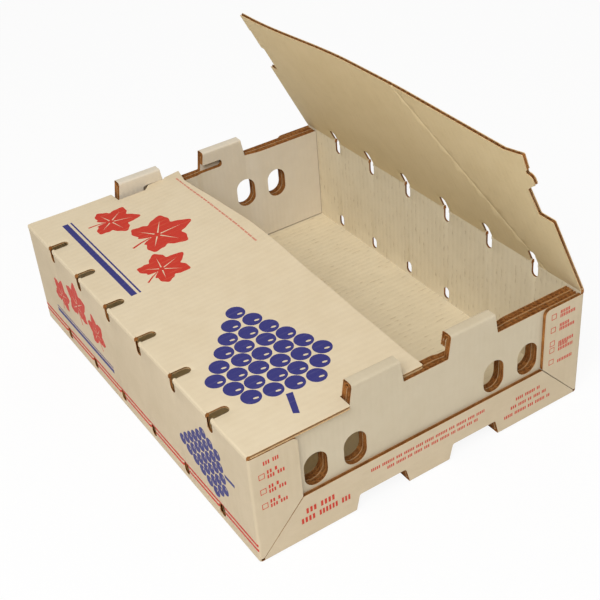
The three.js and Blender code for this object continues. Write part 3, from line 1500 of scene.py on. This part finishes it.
    def _gap(self) -> Loop:
        """Makes the gap between the tabs, with the lock slots in the inner layer.

        Returns:
            The gap's outline, which runs over the top from layer to layer.
        """
        wall, inner = SIZES.wall_top, self.inner_place
        mouth = SIZES.tab_centre - SIZES.tab_foot_half
        neck = mouth + self._lean(self.shoulder)
        crown = SIZES.tab_centre - SIZES.tab_top_half
        lock = inner(wall + self.lock_rise)
        lock_mouth = mouth + SIZES.tab_slope * self.lock_rise
        lock_end = mouth + self.lock_width
        arch = inner(wall + (self.near_arch if self.end < 0 else self.far_arch))
        return (
            corner(self.sill, -mouth, 1.0),
            corner(self.sill, mouth, 1.0),
            corner(self.shoulder, neck),
            corner(self.top, crown),
            corner(inner(self.shoulder), neck),
            corner(lock, lock_mouth, 1.0),
            corner(lock, mouth + self.lock_stub, 0.3),
            corner(arch, mouth + self.lock_stub + 0.1, 1.2),
            corner(arch, lock_end - 3.5, 3.0),
            corner(lock, lock_end, 3.0),
            corner(inner(self.sill), lock_end, 4.0),
            corner(inner(self.sill), -lock_end, 4.0),
            corner(lock, -lock_end, 4.0),
            corner(lock, -lock_mouth, 1.0),
            corner(inner(self.shoulder), -neck),
            corner(self.top, -crown),
            corner(self.shoulder, -neck),
        )

    def along_cuts(self) -> list[float]:
        """Returns the bends over the tabs."""
        return self.path.cuts

    def across_cuts(self) -> list[float]:
        """Returns places close enough for the board's swelling beside the tabs."""
        cuts = [c * MM for c in self.swell_cuts]
        return [*(-c for c in reversed(cuts)), *cuts]

    def swelling(self, across: float) -> float:
        """Finds how much thicker each layer is than at the tabs.

        Args:
            across: Place across the box, in metres.

        Returns:
            The added thickness, in metres.
        """
        place = abs(across) / MM
        low, high = self.beside_tabs
        beside = smoothstep((place - low) / (high - low))
        low, high = self.between_tabs
        between = self.swell_between * smoothstep((high - place) / (high - low))
        return self.swell * MM * max(beside, between)

    def place(self, along: float, across: float, depth: float) -> Vector:
        """Folds one point over the tabs, where the board is pressed thinner than beside them.

        Args:
            along: Its place along the flutes of the blank.
            across: Its place across them.
            depth: Its depth from the outer face.

        Returns:
            Where it lies on the box.
        """
        face, back = self.path.at(along)
        share = depth / self.board.thickness
        spot = face.lerp(back, share)
        layers = 2.0 - share if along > self.top * MM else share
        stand = self.swelling(across) * layers
        return Vector((-self.end * across, -self.end * (spot.x + stand), spot.y))


# ---------------------------------------------------------------------------- lid flaps


@dataclass
class LidFlap(Sheet):
    """A lid flap, on the right (1) or the left (-1). Sizes are in millimetres.

    Along counts from the wall's outer face, and across from the hooked end. A slanted score runs
    over the inner face, and the liner is pressed down in it.
    """

    side: int
    liner_thickness: float = 0.7
    fold: float = 2.0
    width: float = 199.7
    end_gap: float = 0.6
    first_cut: float = 6.0
    along_step: float = 12.0
    across_step: float = 12.5
    slot_end: float = 22.2
    slot_ease: float = 0.7
    score_start: Span = (2.0, 50.0)
    score_end: Span = (199.0, 204.0)
    score_rims: tuple[float, ...] = (-1.3, -0.3, 0.0, 0.3, 1.3)
    score_half: float = 0.35
    score_depth: float = 0.7

    def __post_init__(self) -> None:
        """Lays out the blank."""
        pitch = SIZES.single_pitch * MM
        self.board = Board(SIZES.board * MM, 1, pitch, liner=self.liner_thickness * MM)
        self.slots = Slots(0.0, self.slot_end, SIZES.vent_width / 2 + self.slot_ease)
        self.blank = Blank(self._outline())
        self.start = Vector([c * MM for c in self.score_start])
        self.run = (Vector([c * MM for c in self.score_end]) - self.start).normalized()

    def _outline(self) -> Loop:
        """Makes the flap's outline.

        Returns:
            The outline, with its air slots open at the fold.
        """
        fold, length = self.fold, SIZES.length
        hooked_end = [
            corner(fold, 1.6),
            corner(4.5, 0.9),
            corner(107.6, 4.6, 1.5),
            corner(108.4, 23.4, 1.5),
            corner(143.6, 25.6),
            corner(155.0, 13.6, 2.0),
        ]
        lock_finger = [
            corner(156.5, 10.9, 2.0),
            corner(166.0, 10.9, 2.6),
            corner(168.8, 14.4, 0.5),
            corner(169.2, 17.8, 0.5),
            corner(173.2, 17.8, 0.5),
            corner(174.9, 15.4, 1.0),
        ]
        free_edge = [
            corner(196.0, 13.4, 1.5),
            corner(189.6, 41.0),
            corner(self.width, 200.0, 20.0),
            corner(self.width, length - 8.5, 1.5),
        ]
        plain_end = [
            corner(174.6, length - 8.5, 0.5),
            corner(174.6, length - 11.0, 0.5),
            corner(147.0, length - 11.0, 1.0),
            corner(147.0, length - 17.5),
            corner(110.3, length - 17.5, 1.0),
            corner(110.3, length - self.end_gap, 1.0),
            corner(4.5, length - self.end_gap),
            corner(fold, length - 1.4),
        ]
        slots = open_slots(fold, self.slot_end, self.slots.half, SIZES.half_length)
        return (*hooked_end, *lock_finger, *free_edge, *plain_end, *slots)

    def along_cuts(self) -> list[float]:
        """Finds places close enough for the flap's gentle curve.

        Returns:
            The places, and the end of the slots' pressed rims.
        """
        count = int((self.width - self.first_cut) / self.along_step) + 1
        curve = [(self.first_cut + self.along_step * i) * MM for i in range(count)]
        return [*curve, (self.slots.top + self.slots.ramp) * MM]

    def across_cuts(self) -> list[float]:
        """Finds places close enough for the flap's gentle curve.

        Returns:
            The places, and the sides of the slots' pressed rims.
        """
        count = round(SIZES.length / self.across_step)
        curve = [self.across_step * i * MM for i in range(1, count)]
        return [*curve, *(SIZES.half_length * MM + c for c in self.slots.across_cuts())]

    def slant_cuts(self, bm: bmesh.types.BMesh) -> None:
        """Adds the edges of the slanted score."""
        start, normal = self.start.to_3d(), Vector((self.run.y, -self.run.x, 0.0))
        slice_mesh(bm, (start + normal * rim * MM for rim in self.score_rims), normal)

    def from_score(self, along: float, across: float) -> float:
        """Returns the distance of a point from the slanted score, positive towards the hook."""
        offset = Vector((along, across)) - self.start
        return offset.x * self.run.y - offset.y * self.run.x

    def paper_of(self, face: bmesh.types.BMFace, index: int) -> Paper:
        """Chooses the paper of a liner's face, which carries a painted highlight in the slanted score.

        Args:
            face: The face, on the flat liner.
            index: Which liner it is on, counted from the outside.

        Returns:
            The paper.
        """
        paper = super().paper_of(face, index)
        if paper is not Paper.INSIDE:
            return paper
        # Faces within the score take the paper of the painted highlight.
        beside = abs(self.from_score(*face.calc_center_median().xy))
        return Paper.SCORE_HIGHLIGHT if beside < self.score_half * MM else paper

    def lift(self, along: float, place: float) -> float:
        """Returns how far the flap stands off its plane at a place along the box."""
        raise NotImplementedError

    def opening(self, place: float) -> float:
        """Returns the flap's angle from closed at a place along the box, in radians."""
        raise NotImplementedError

    def place(self, along: float, across: float, depth: float) -> Vector:
        """Swings one point about the fold line, with the flap's own warp.

        Args:
            along: Its place along the flutes of the blank.
            across: Its place across them.
            depth: Its depth from the outer face.

        Returns:
            Where it lies on the box.
        """
        half = SIZES.board / 2 * MM
        half_length = SIZES.half_length * MM
        place = self.side * (across - half_length)
        turn = self.opening(place)
        reach = along - half
        score = max(0.0, 1.0 - abs(self.from_score(along, across)) / (self.score_rims[-1] * MM))
        on_inner_liner = depth > self.board.thickness - self.board.liner * 1.2
        sunk = self.score_depth * MM * score if on_inner_liner else 0.0
        left = self.slots.pressed(along / MM, (across - half_length) / MM)
        stand = (half - depth) * left + self.lift(along, place) + sunk
        inwards = reach * math.cos(turn) - stand * math.sin(turn)
        up = reach * math.sin(turn) + stand * math.cos(turn)
        return Vector(
            (
                self.side * (SIZES.hinge_offset * MM - inwards),
                place,
                SIZES.hinge_height * MM + up,
            )
        )


@dataclass
class ClosedFlap(LidFlap):
    """The left flap: closed, its free edge bowed up a little and its hooked corner dipped.

    Rises are places along the box and how far the free edge stands off the flap's plane there.
    """

    rises: tuple[Span, ...] = (
        (-250.0, -2.6),
        (-225.0, -2.6),
        (-150.0, 0.2),
        (-69.0, 4.0),
        (33.0, 9.6),
        (75.0, 11.0),
        (130.0, 10.2),
        (210.0, 7.5),
        (250.0, 5.5),
    )
    bow: Span = (8.0, 190.0)
    dip: Span = (112.0, 60.0)

    def lift(self, along: float, place: float) -> float:
        """Finds the bow of the flap, or its dip where it rests between the near tabs.

        Args:
            along: Place along the flutes, in metres.
            place: Place along the box, in metres.

        Returns:
            How far the flap stands off its plane, in metres.
        """
        where = min(max(place / MM, self.rises[0][0]), self.rises[-1][0])
        rise = smooth_curve(self.rises, where)
        start, reach = self.dip if rise < 0.0 else self.bow
        share = (along / MM - start) / reach
        return rise * MM * (smoothstep(share) if rise < 0.0 else max(0.0, share) ** 2)

    def opening(self, place: float) -> float:
        """Returns zero: the flap is closed."""
        return 0.0


@dataclass
class OpenFlap(LidFlap):
    """The right flap: it stands open, and leans in more at its far end. Angles are in degrees."""

    near_angle: float = 66.2
    far_angle: float = 63.5
    turn_start: float = 30.0
    turn_length: float = 190.0
    score_bend: float = 0.004

    def lift(self, along: float, place: float) -> float:
        """Returns the slight fold of the hooked corner along the slanted score."""
        across = self.side * place + SIZES.half_length * MM
        return self.score_bend * max(0.0, self.from_score(along, across))

    def opening(self, place: float) -> float:
        """Returns the angle, which falls towards the far end."""
        share = smoothstep((place / MM - self.turn_start) / self.turn_length)
        return math.radians(self.near_angle + (self.far_angle - self.near_angle) * share)


# ---------------------------------------------------------------------------- print


@dataclass(frozen=True)
class Spot:
    """Where a motif stands on a blank: its middle, its size and its turn in radians."""

    along: float
    across: float
    size: float
    turn: float = 0.0

    def moved(self, points: Iterable[Span]) -> Loop:
        """Places points of a motif of unit size.

        Args:
            points: The points.

        Returns:
            Them as a loop on the blank.
        """
        cosine, sine = math.cos(self.turn), math.sin(self.turn)
        return tuple(
            corner(
                self.along + self.size * (x * cosine - y * sine),
                self.across + self.size * (x * sine + y * cosine),
            )
            for x, y in points
        )


@dataclass(frozen=True)
class VineLeaf:
    """A plain five-lobed vine leaf with its veins left bare, and sizes as shares of its own.

    Reaches are angles from its tip and how far its edge is from its middle there. Vein runs are
    angles and lengths.
    """

    spot: Spot
    reaches: tuple[Span, ...] = (
        (0, 1.0),
        (27, 0.66),
        (58, 0.92),
        (90, 0.60),
        (124, 0.80),
        (158, 0.50),
        (180, 0.16),
    )
    edge_points: int = 144
    teeth: int = 18
    tooth: float = 0.022
    vein_runs: tuple[Span, ...] = ((0, 0.8), (58, 0.7), (-58, 0.7), (124, 0.58), (-124, 0.58))
    vein_start: float = 0.09
    vein_half: float = 0.022
    stalk: tuple[Span, ...] = (
        (-0.22, -0.02),
        (-0.22, 0.02),
        (-0.48, 0.07),
        (-0.78, 0.17),
        (-0.80, 0.11),
        (-0.50, 0.02),
    )

    def edge_point(self, angle: float) -> Span:
        """Finds a point of the leaf's toothed edge.

        Args:
            angle: Its angle from the tip, in degrees.

        Returns:
            The point.
        """
        turned = abs((angle + 180) % 360 - 180)
        tooth = self.tooth * math.sin(math.radians(turned * self.teeth + 90))
        reach = smooth_curve(self.reaches, turned) + tooth
        return reach * math.cos(math.radians(angle)), reach * math.sin(math.radians(angle))

    def vein(self, turn: float, length: float) -> Loop:
        """Makes a vein as a thin tapering gap.

        Args:
            turn: Its angle from the tip, in degrees.
            length: How far it reaches.

        Returns:
            The gap's outline on the blank.
        """
        run = Vector((math.cos(math.radians(turn)), math.sin(math.radians(turn))))
        side = Vector((-run.y, run.x)) * self.vein_half
        start = run * self.vein_start
        return self.spot.moved(tuple(p) for p in (start - side, run * length, start + side))

    def shapes(self) -> list[Blank]:
        """Makes the leaf and its short curved stalk.

        Returns:
            The printed shapes.
        """
        turns = [360 / self.edge_points * i for i in range(self.edge_points)]
        outline = self.spot.moved(self.edge_point(turn) for turn in turns)
        veins = tuple(self.vein(*run) for run in self.vein_runs)
        return [Blank(outline, veins), Blank(self.spot.moved(self.stalk))]


def oval(middle: Span, radii: Span, count: int) -> list[Span]:
    """Makes the points of an oval.

    Args:
        middle: Its middle.
        radii: Its two radii.
        count: Its number of points.

    Returns:
        The points.
    """
    turns = [i * math.pi / (count / 2) for i in range(count)]
    return [
        (middle[0] + radii[0] * math.cos(turn), middle[1] + radii[1] * math.sin(turn))
        for turn in turns
    ]


@dataclass(frozen=True)
class GrapeBunch:
    """A hanging bunch of round grapes in rows under a stalk, with sizes as shares of its own."""

    spot: Spot
    rows: tuple[int, ...] = (4, 5, 6, 5, 4, 3, 2, 1)
    top: float = 0.52
    pitch: float = 0.19
    row_share: float = 0.84
    wobble: float = 0.004
    grape_radii: Span = (0.09, 0.088)
    grape_points: int = 24
    shine_radii: Span = (0.012, 0.026)
    shine_points: int = 8
    shine_shift: float = 0.03
    stalk: tuple[Span, ...] = ((0.62, -0.03), (0.62, 0.03), (0.86, 0.07), (0.88, 0.02))

    def grape(self, row: int, place: int) -> Blank:
        """Makes one grape with a bare shine.

        Args:
            row: Its row, counted from the stalk.
            place: Its place in the row.

        Returns:
            Its printed shape.
        """
        x = self.top - row * self.pitch * self.row_share
        y = (place - (self.rows[row] - 1) / 2) * self.pitch
        y += self.wobble * math.sin(5.0 * row + 3.0 * place)
        edge = oval((x, y), self.grape_radii, self.grape_points)
        light = (x + self.shine_shift, y - self.shine_shift)
        shine = oval(light, self.shine_radii, self.shine_points)
        return Blank(self.spot.moved(edge), (self.spot.moved(shine),))

    def shapes(self) -> list[Blank]:
        """Returns the grapes and the stalk."""
        grapes = [self.grape(row, i) for row, count in enumerate(self.rows) for i in range(count)]
        return [*grapes, Blank(self.spot.moved(self.stalk))]


def bar(along: Span, across: Span) -> Blank:
    """Returns a plain printed bar."""
    return Blank(box_loop(along, across))


def word_spans(line: Span, longest: float, thick: float) -> list[Span]:
    """Splits a line into short lengths with gaps, like a line of words.

    Args:
        line: Where the line starts and ends.
        longest: Length of the longest piece.
        thick: Height of the line, which sets the gaps.

    Returns:
        The start and end of each piece.
    """
    shares = (0.75, 1.0, 0.5, 0.85, 0.6)
    shortest = longest * 0.3
    gap = max(0.8, thick * 0.55)
    spans: list[Span] = []
    start, end = line
    while start < end - shortest:
        stop = min(end, start + longest * shares[len(spans) % len(shares)])
        spans.append((start, stop))
        start = stop + gap
    return spans


def stroke_spans(words: Iterable[Span], pitch: float, share: float) -> list[Span]:
    """Splits lengths into upright strokes.

    Args:
        words: The start and end of each length.
        pitch: About how far apart the strokes stand.
        share: How much of that each fills.

    Returns:
        The start and end of each stroke.
    """
    spans: list[Span] = []
    for low, high in words:
        count = max(1, round((high - low) / pitch))
        step = (high - low) / count
        spans += [(low + i * step, low + i * step + step * share) for i in range(count)]
    return spans


@dataclass(frozen=True)
class LidPrint:
    """The print of a lid flap: leaves and a line of strokes in red, bars and a bunch in navy."""

    leaves: tuple[Spot, ...] = (
        Spot(80.0, 62.0, 34.0, 0.35),
        Spot(108.0, 126.0, 43.0),
        Spot(80.0, 190.0, 34.0, -0.35),
    )
    line: Span = (30.0, 218.0)
    line_rows: Span = (183.4, 185.4)
    longest_word: float = 10.0
    stroke_pitch: float = 1.25
    stroke_share: float = 0.55
    bars: tuple[Span, ...] = ((31.0, 38.0), (41.0, 43.0))
    bar_length: Span = (32.0, 214.0)
    bunch: Spot = Spot(89.0, 379.0, 116.0, math.radians(100))

    def shapes(self, ink: Ink) -> list[Blank]:
        """Makes what one ink prints.

        Args:
            ink: The ink.

        Returns:
            The printed shapes, on the flap's blank.
        """
        if ink is Ink.NAVY:
            bars = [bar(rows, self.bar_length) for rows in self.bars]
            return [*bars, *GrapeBunch(self.bunch).shapes()]
        leaves = [shape for spot in self.leaves for shape in VineLeaf(spot).shapes()]
        words = word_spans(self.line, self.longest_word, self.line_rows[1] - self.line_rows[0])
        strokes = stroke_spans(words, self.stroke_pitch, self.stroke_share)
        return [*leaves, *(bar(self.line_rows, stroke) for stroke in strokes)]


@dataclass(frozen=True)
class Note:
    """A line of strokes: its ends, its foot, its height and its longest word."""

    low: float
    high: float
    foot: float
    thick: float
    longest: float


@dataclass(frozen=True)
class Column:
    """A column of tick boxes with notes beside them.

    Boxes are the height of a box's foot and how many notes it has. The notes' feet count from it.
    """

    left: float
    size: float
    boxes: tuple[tuple[float, int], ...]
    notes: tuple[Note, ...]


@dataclass(frozen=True)
class EndFace:
    """The outside of one end, where X counts to the right as it is looked at, and Z upwards."""

    wrap: Wrap
    end: int
    heading: Note = Note(-185.0, -168.0, 116.0, 4.6, 10.0)
    columns: tuple[Column, ...] = (
        Column(
            -191.0,
            6.4,
            ((101.0, 2), (83.0, 2), (65.0, 2)),
            (Note(-182.0, -170.0, 3.6, 4.2, 8.0), Note(-182.0, -163.0, -2.0, 4.2, 11.0)),
        ),
        Column(
            156.0,
            6.6,
            ((114.8, 2), (98.2, 2), (80.9, 1), (72.3, 2), (57.0, 1)),
            (Note(168.0, 196.0, -1.4, 4.0, 28.0), Note(168.0, 186.0, 3.6, 4.0, 18.0)),
        ),
    )
    notes: tuple[Note, ...] = (
        Note(-146.0, -104.0, 32.0, 6.6, 17.0),
        Note(-152.0, -95.0, 21.5, 6.6, 22.0),
        Note(-71.0, 74.0, 41.0, 3.6, 15.0),
        Note(-52.0, 62.0, 34.0, 3.6, 12.0),
        Note(112.5, 146.0, 33.0, 4.0, 14.0),
        Note(106.0, 155.0, 24.0, 4.0, 11.0),
        Note(97.5, 161.0, 15.0, 4.0, 16.0),
    )
    tick_rim: float = 0.7
    stroke_share: float = 0.6

    def loop(self, across: Span, up: Span) -> Loop:
        """Puts a rectangle of the end's face on whichever flap it lies.

        Args:
            across: Its left and right side.
            up: Its foot and top.

        Returns:
            It as a loop on the wrap's blank.
        """
        places = [-self.end * v for v in across]
        if up[0] < SIZES.bottom_flap:
            over = [self.end * self.wrap.flap_place(v) for v in up]
            return box_loop((min(places), max(places)), (min(over), max(over)))
        side = 1 if places[0] > 0 else -1
        along = [side * self.wrap.wall_place(v) for v in up]
        over = [self.end * self.wrap.flap_place(SIZES.half_width - abs(v)) for v in places]
        return box_loop((min(along), max(along)), (min(over), max(over)))

    def line(self, note: Note) -> list[Blank]:
        """Makes a note of upright strokes in groups.

        Args:
            note: Its place and size.

        Returns:
            The strokes.
        """
        words = word_spans((note.low, note.high), note.longest, note.thick)
        strokes = stroke_spans(words, note.thick * self.stroke_share, self.stroke_share)
        up = (note.foot, note.foot + note.thick)
        return [Blank(self.loop(stroke, up)) for stroke in strokes]

    def tick_box(self, left: float, foot: float, size: float) -> Blank:
        """Makes a small square outline for a tick.

        Args:
            left: Place of its left side.
            foot: Height of its foot.
            size: Its side.

        Returns:
            The printed shape.
        """
        rim = self.tick_rim
        outside = self.loop((left, left + size), (foot, foot + size))
        inside = self.loop((left + rim, left + size - rim), (foot + rim, foot + size - rim))
        return Blank(outside, (inside,))

    def shapes(self) -> list[Blank]:
        """Makes all the print of the end.

        Returns:
            The printed shapes, on the wrap's blank.
        """
        shapes = self.line(self.heading)
        for column in self.columns:
            for foot, count in column.boxes:
                shapes.append(self.tick_box(column.left, foot, column.size))
                for note in column.notes[:count]:
                    shapes += self.line(replace(note, foot=foot + note.foot))
        for note in self.notes:
            shapes += self.line(note)
        return shapes


@dataclass(frozen=True)
class WrapPrint:
    """The print of the side walls and the ends: navy bars and bunches, and all else in red.

    Its sizes are for the right wall, where along counts up from the floor, and the left wall has
    the same turned half round.
    """

    wrap: Wrap
    stripes: tuple[Span, ...] = ((14.6, 18.0), (21.0, 24.4))
    stripe_half: float = 249.0
    leaves: tuple[Spot, ...] = (
        Spot(72.0, -176.0, 25.0, 0.3),
        Spot(84.0, -128.0, 31.0),
        Spot(72.0, -80.0, 25.0, -0.3),
    )
    bars: tuple[Span, ...] = ((36.0, 41.0), (43.0, 44.6))
    bar_length: Span = (-204.0, -50.0)
    bunch: Spot = Spot(66.0, 156.0, 71.0, math.radians(80))

    def on_wall(self, spot: Spot) -> Spot:
        """Returns a spot, given by its height, at its place on the blank."""
        return replace(spot, along=self.wrap.wall_place(spot.along))

    def wall_bar(self, heights: Span, across: Span) -> Blank:
        """Returns a bar on a wall, given by its heights."""
        low, high = heights
        return bar((self.wrap.wall_place(low), self.wrap.wall_place(high)), across)

    def red(self) -> list[Blank]:
        """Makes the stripes and leaves of the walls and the print of the ends.

        Returns:
            The printed shapes, on the wrap's blank.
        """
        along_wall = (-self.stripe_half, self.stripe_half)
        stripes = [self.wall_bar(heights, along_wall) for heights in self.stripes]
        leaves = [s for spot in self.leaves for s in VineLeaf(self.on_wall(spot)).shapes()]
        shapes: list[Blank] = []
        for side in (-1, 1):
            shapes += [stripe.mirrored(along=side) for stripe in stripes]
            shapes += [leaf.mirrored(along=side, across=side) for leaf in leaves]
        for end in (-1, 1):
            shapes += EndFace(self.wrap, end).shapes()
        return shapes

    def navy(self) -> list[Blank]:
        """Makes the bunches and bars of the walls.

        Returns:
            The printed shapes, on the wrap's blank.
        """
        bars = [self.wall_bar(heights, self.bar_length) for heights in self.bars]
        wall = [*GrapeBunch(self.on_wall(self.bunch)).shapes(), *bars]
        return [shape.mirrored(along=side, across=side) for side in (-1, 1) for shape in wall]

    def shapes(self, ink: Ink) -> list[Blank]:
        """Returns what one ink prints on the wrap's blank."""
        return self.red() if ink is Ink.RED else self.navy()


# ---------------------------------------------------------------------------- box


class GrapeBox:
    """The whole box: its sheets, its folds and its print."""

    def __init__(self, finishes: Finishes) -> None:
        """Lays out the sheets.

        Args:
            finishes: The box's materials.
        """
        self.finishes = finishes
        self.wrap = Wrap()
        self.panels = {"end_panel_front": EndPanel(-1), "end_panel_back": EndPanel(1)}
        self.flaps = {"left": ClosedFlap(-1), "right": OpenFlap(1)}

    def report(self, piece: bpy.types.Object, body: str, slot: str, *nodes: str) -> None:
        """Ties a piece to its body, hides the CAD nodes that it replaces, and logs it.

        Args:
            piece: The piece.
            body: The body that it rides on.
            slot: What it is made of; not used.
            nodes: The CAD nodes that it replaces.
        """
        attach(piece, body)
        if nodes:
            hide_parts(*nodes)
        piece.data.calc_loop_triangles()
        LOG.info("%s: %d triangles on %s", piece.name, len(piece.data.loop_triangles), body)

    def build_sheets(self) -> None:
        """Builds the board."""
        finishes = self.finishes
        piece = self.wrap.build("wrap", finishes.wrap)
        self.report(piece, "box_body", "wrap_board", "body_wrap")
        for node, panel in self.panels.items():
            piece = panel.build(f"{node}_board", finishes.panels[node])
            self.report(piece, "box_body", "end_board", node)
        for side, flap in self.flaps.items():
            piece = flap.build(f"{side}_lid_board", finishes.lid)
            self.report(piece, f"{side}_lid", "lid_board", f"lid_flap_{side}")
        for side, flap in self.flaps.items():
            piece = LidFolds().build(flap.side, f"lid_fold_{side}", finishes.fold)
            self.report(piece, "box_body", "wrap_board")

    def print_all(self) -> None:
        """Prints the two flaps alike, and then the wrap."""
        inks = self.finishes.inks
        for side, flap in self.flaps.items():
            for ink in Ink:
                shapes = LidPrint().shapes(ink)
                piece = flap.printed(f"{side}_lid_{ink.value}_print", shapes, inks[ink])
                self.report(piece, f"{side}_lid", "lid_board")
        for ink in Ink:
            shapes = WrapPrint(self.wrap).shapes(ink)
            piece = self.wrap.printed(f"wrap_{ink.value}_print", shapes, inks[ink])
            self.report(piece, "box_body", "wrap_board")

    def build(self) -> None:
        """Builds the box."""
        self.build_sheets()
        self.print_all()


# ---------------------------------------------------------------------------- studio


@dataclass(frozen=True)
class Lamp:
    """A square soft lamp. Its place, its side and what it points at are in metres."""

    name: str
    place: tuple[float, float, float]
    size: float
    watts: float
    aim: tuple[float, float, float] = (0.0, 0.0, 0.08)

    def hang(self) -> None:
        """Adds the lamp to the scene."""
        data = bpy.data.lights.new(self.name, "AREA")
        data.shape = "SQUARE"
        data.size = self.size
        data.energy = self.watts
        lamp = bpy.data.objects.new(self.name, data)
        lamp.location = self.place
        away = Vector(self.place) - Vector(self.aim)
        lamp.rotation_euler = away.to_track_quat("Z", "Y").to_euler()
        bpy.context.scene.collection.objects.link(lamp)


@dataclass(frozen=True)
class Studio:
    """The floor, the soft lamps and the camera. Lengths are in metres."""

    lamps: tuple[Lamp, ...] = (
        Lamp("key_lamp", (-1.3, -1.3, 2.25), 1.6, 64.0),
        Lamp("back_lamp", (1.6, 1.9, 1.9), 1.8, 9.0),
    )
    ambient: float = 0.36
    ambient_tint: Colour = (1.0, 0.98, 0.95)
    floor_radius: float = 3.0
    floor_drop: float = 0.0006
    floor_glow: float = 0.9
    camera_place: tuple[float, float, float] = (-0.51191, -0.89628, 0.79932)
    camera_ahead: tuple[float, float, float] = (0.41361, 0.70483, -0.57632)
    camera_up: tuple[float, float, float] = (0.36759, 0.44983, 0.81396)
    lens: float = 67.52
    sensor: float = 36.0

    def lay_floor(self) -> None:
        """Lays a white floor that glows to the camera, and so keeps only a faint shadow."""
        bm = bmesh.new()
        bmesh.ops.create_circle(bm, cap_ends=True, segments=96, radius=self.floor_radius)
        bmesh.ops.translate(bm, verts=bm.verts[:], vec=(0, 0, -self.floor_drop))
        floor = to_object(bm, "floor")
        book = new_material("white_floor")
        grain = book.noise(book.place("Object"), 300.0, 2.0)
        colour = {"Color": (0.9, 0.9, 0.9), "Normal": book.bump(grain, 0.00002)}
        diffuse = book.node("ShaderNodeBsdfDiffuse", {}, colour)
        glow = book.node("ShaderNodeEmission", {}, {"Color": (1.0, 1.0, 1.0), "Strength": 1.0})
        path = book.node("ShaderNodeLightPath", {}, {})
        seen = Value(book, path.outputs["Is Camera Ray"]) * self.floor_glow
        inputs = {0: seen, 1: diffuse.outputs[0], 2: glow.outputs[0]}
        mixed = book.node("ShaderNodeMixShader", {}, inputs)
        book.node("ShaderNodeOutputMaterial", {}, {"Surface": mixed.outputs[0]})
        floor.data.materials.append(book.owner)

    def light(self) -> None:
        """Hangs the lamps, and sets a soft surrounding light that the camera sees as white."""
        for lamp in self.lamps:
            lamp.hang()
        world = bpy.data.worlds.new("studio")
        bpy.context.scene.world = world
        book = NodeBook(world)
        path = book.node("ShaderNodeLightPath", {}, {})
        soft, white = (
            book.node("ShaderNodeBackground", {}, {"Color": colour, "Strength": strength})
            for colour, strength in ((self.ambient_tint, self.ambient), ((1.0, 1.0, 1.0), 1.0))
        )
        inputs = {0: path.outputs["Is Camera Ray"], 1: soft.outputs[0], 2: white.outputs[0]}
        mixed = book.node("ShaderNodeMixShader", {}, inputs)
        book.node("ShaderNodeOutputWorld", {}, {"Surface": mixed.outputs[0]})

    def set_camera(self) -> None:
        """Places the camera above the near left corner."""
        data = bpy.data.cameras.new("camera")
        data.sensor_width = self.sensor
        data.lens = self.lens
        data.clip_end = 20.0
        camera = bpy.data.objects.new("camera", data)
        ahead = Vector(self.camera_ahead).normalized()
        across = ahead.cross(Vector(self.camera_up)).normalized()
        turn = Matrix((across, across.cross(ahead), -ahead)).transposed().to_4x4()
        camera.matrix_world = Matrix.Translation(self.camera_place) @ turn
        bpy.context.scene.collection.objects.link(camera)
        bpy.context.scene.camera = camera

    def build(self) -> None:
        """Builds the studio."""
        bpy.context.scene.view_settings.view_transform = "Standard"
        self.set_camera()
        self.lay_floor()
        self.light()


def main() -> None:
    """Builds the studio and the box."""
    Studio().build()
    GrapeBox(Finishes()).build()


if __name__ == "__main__":
    main()
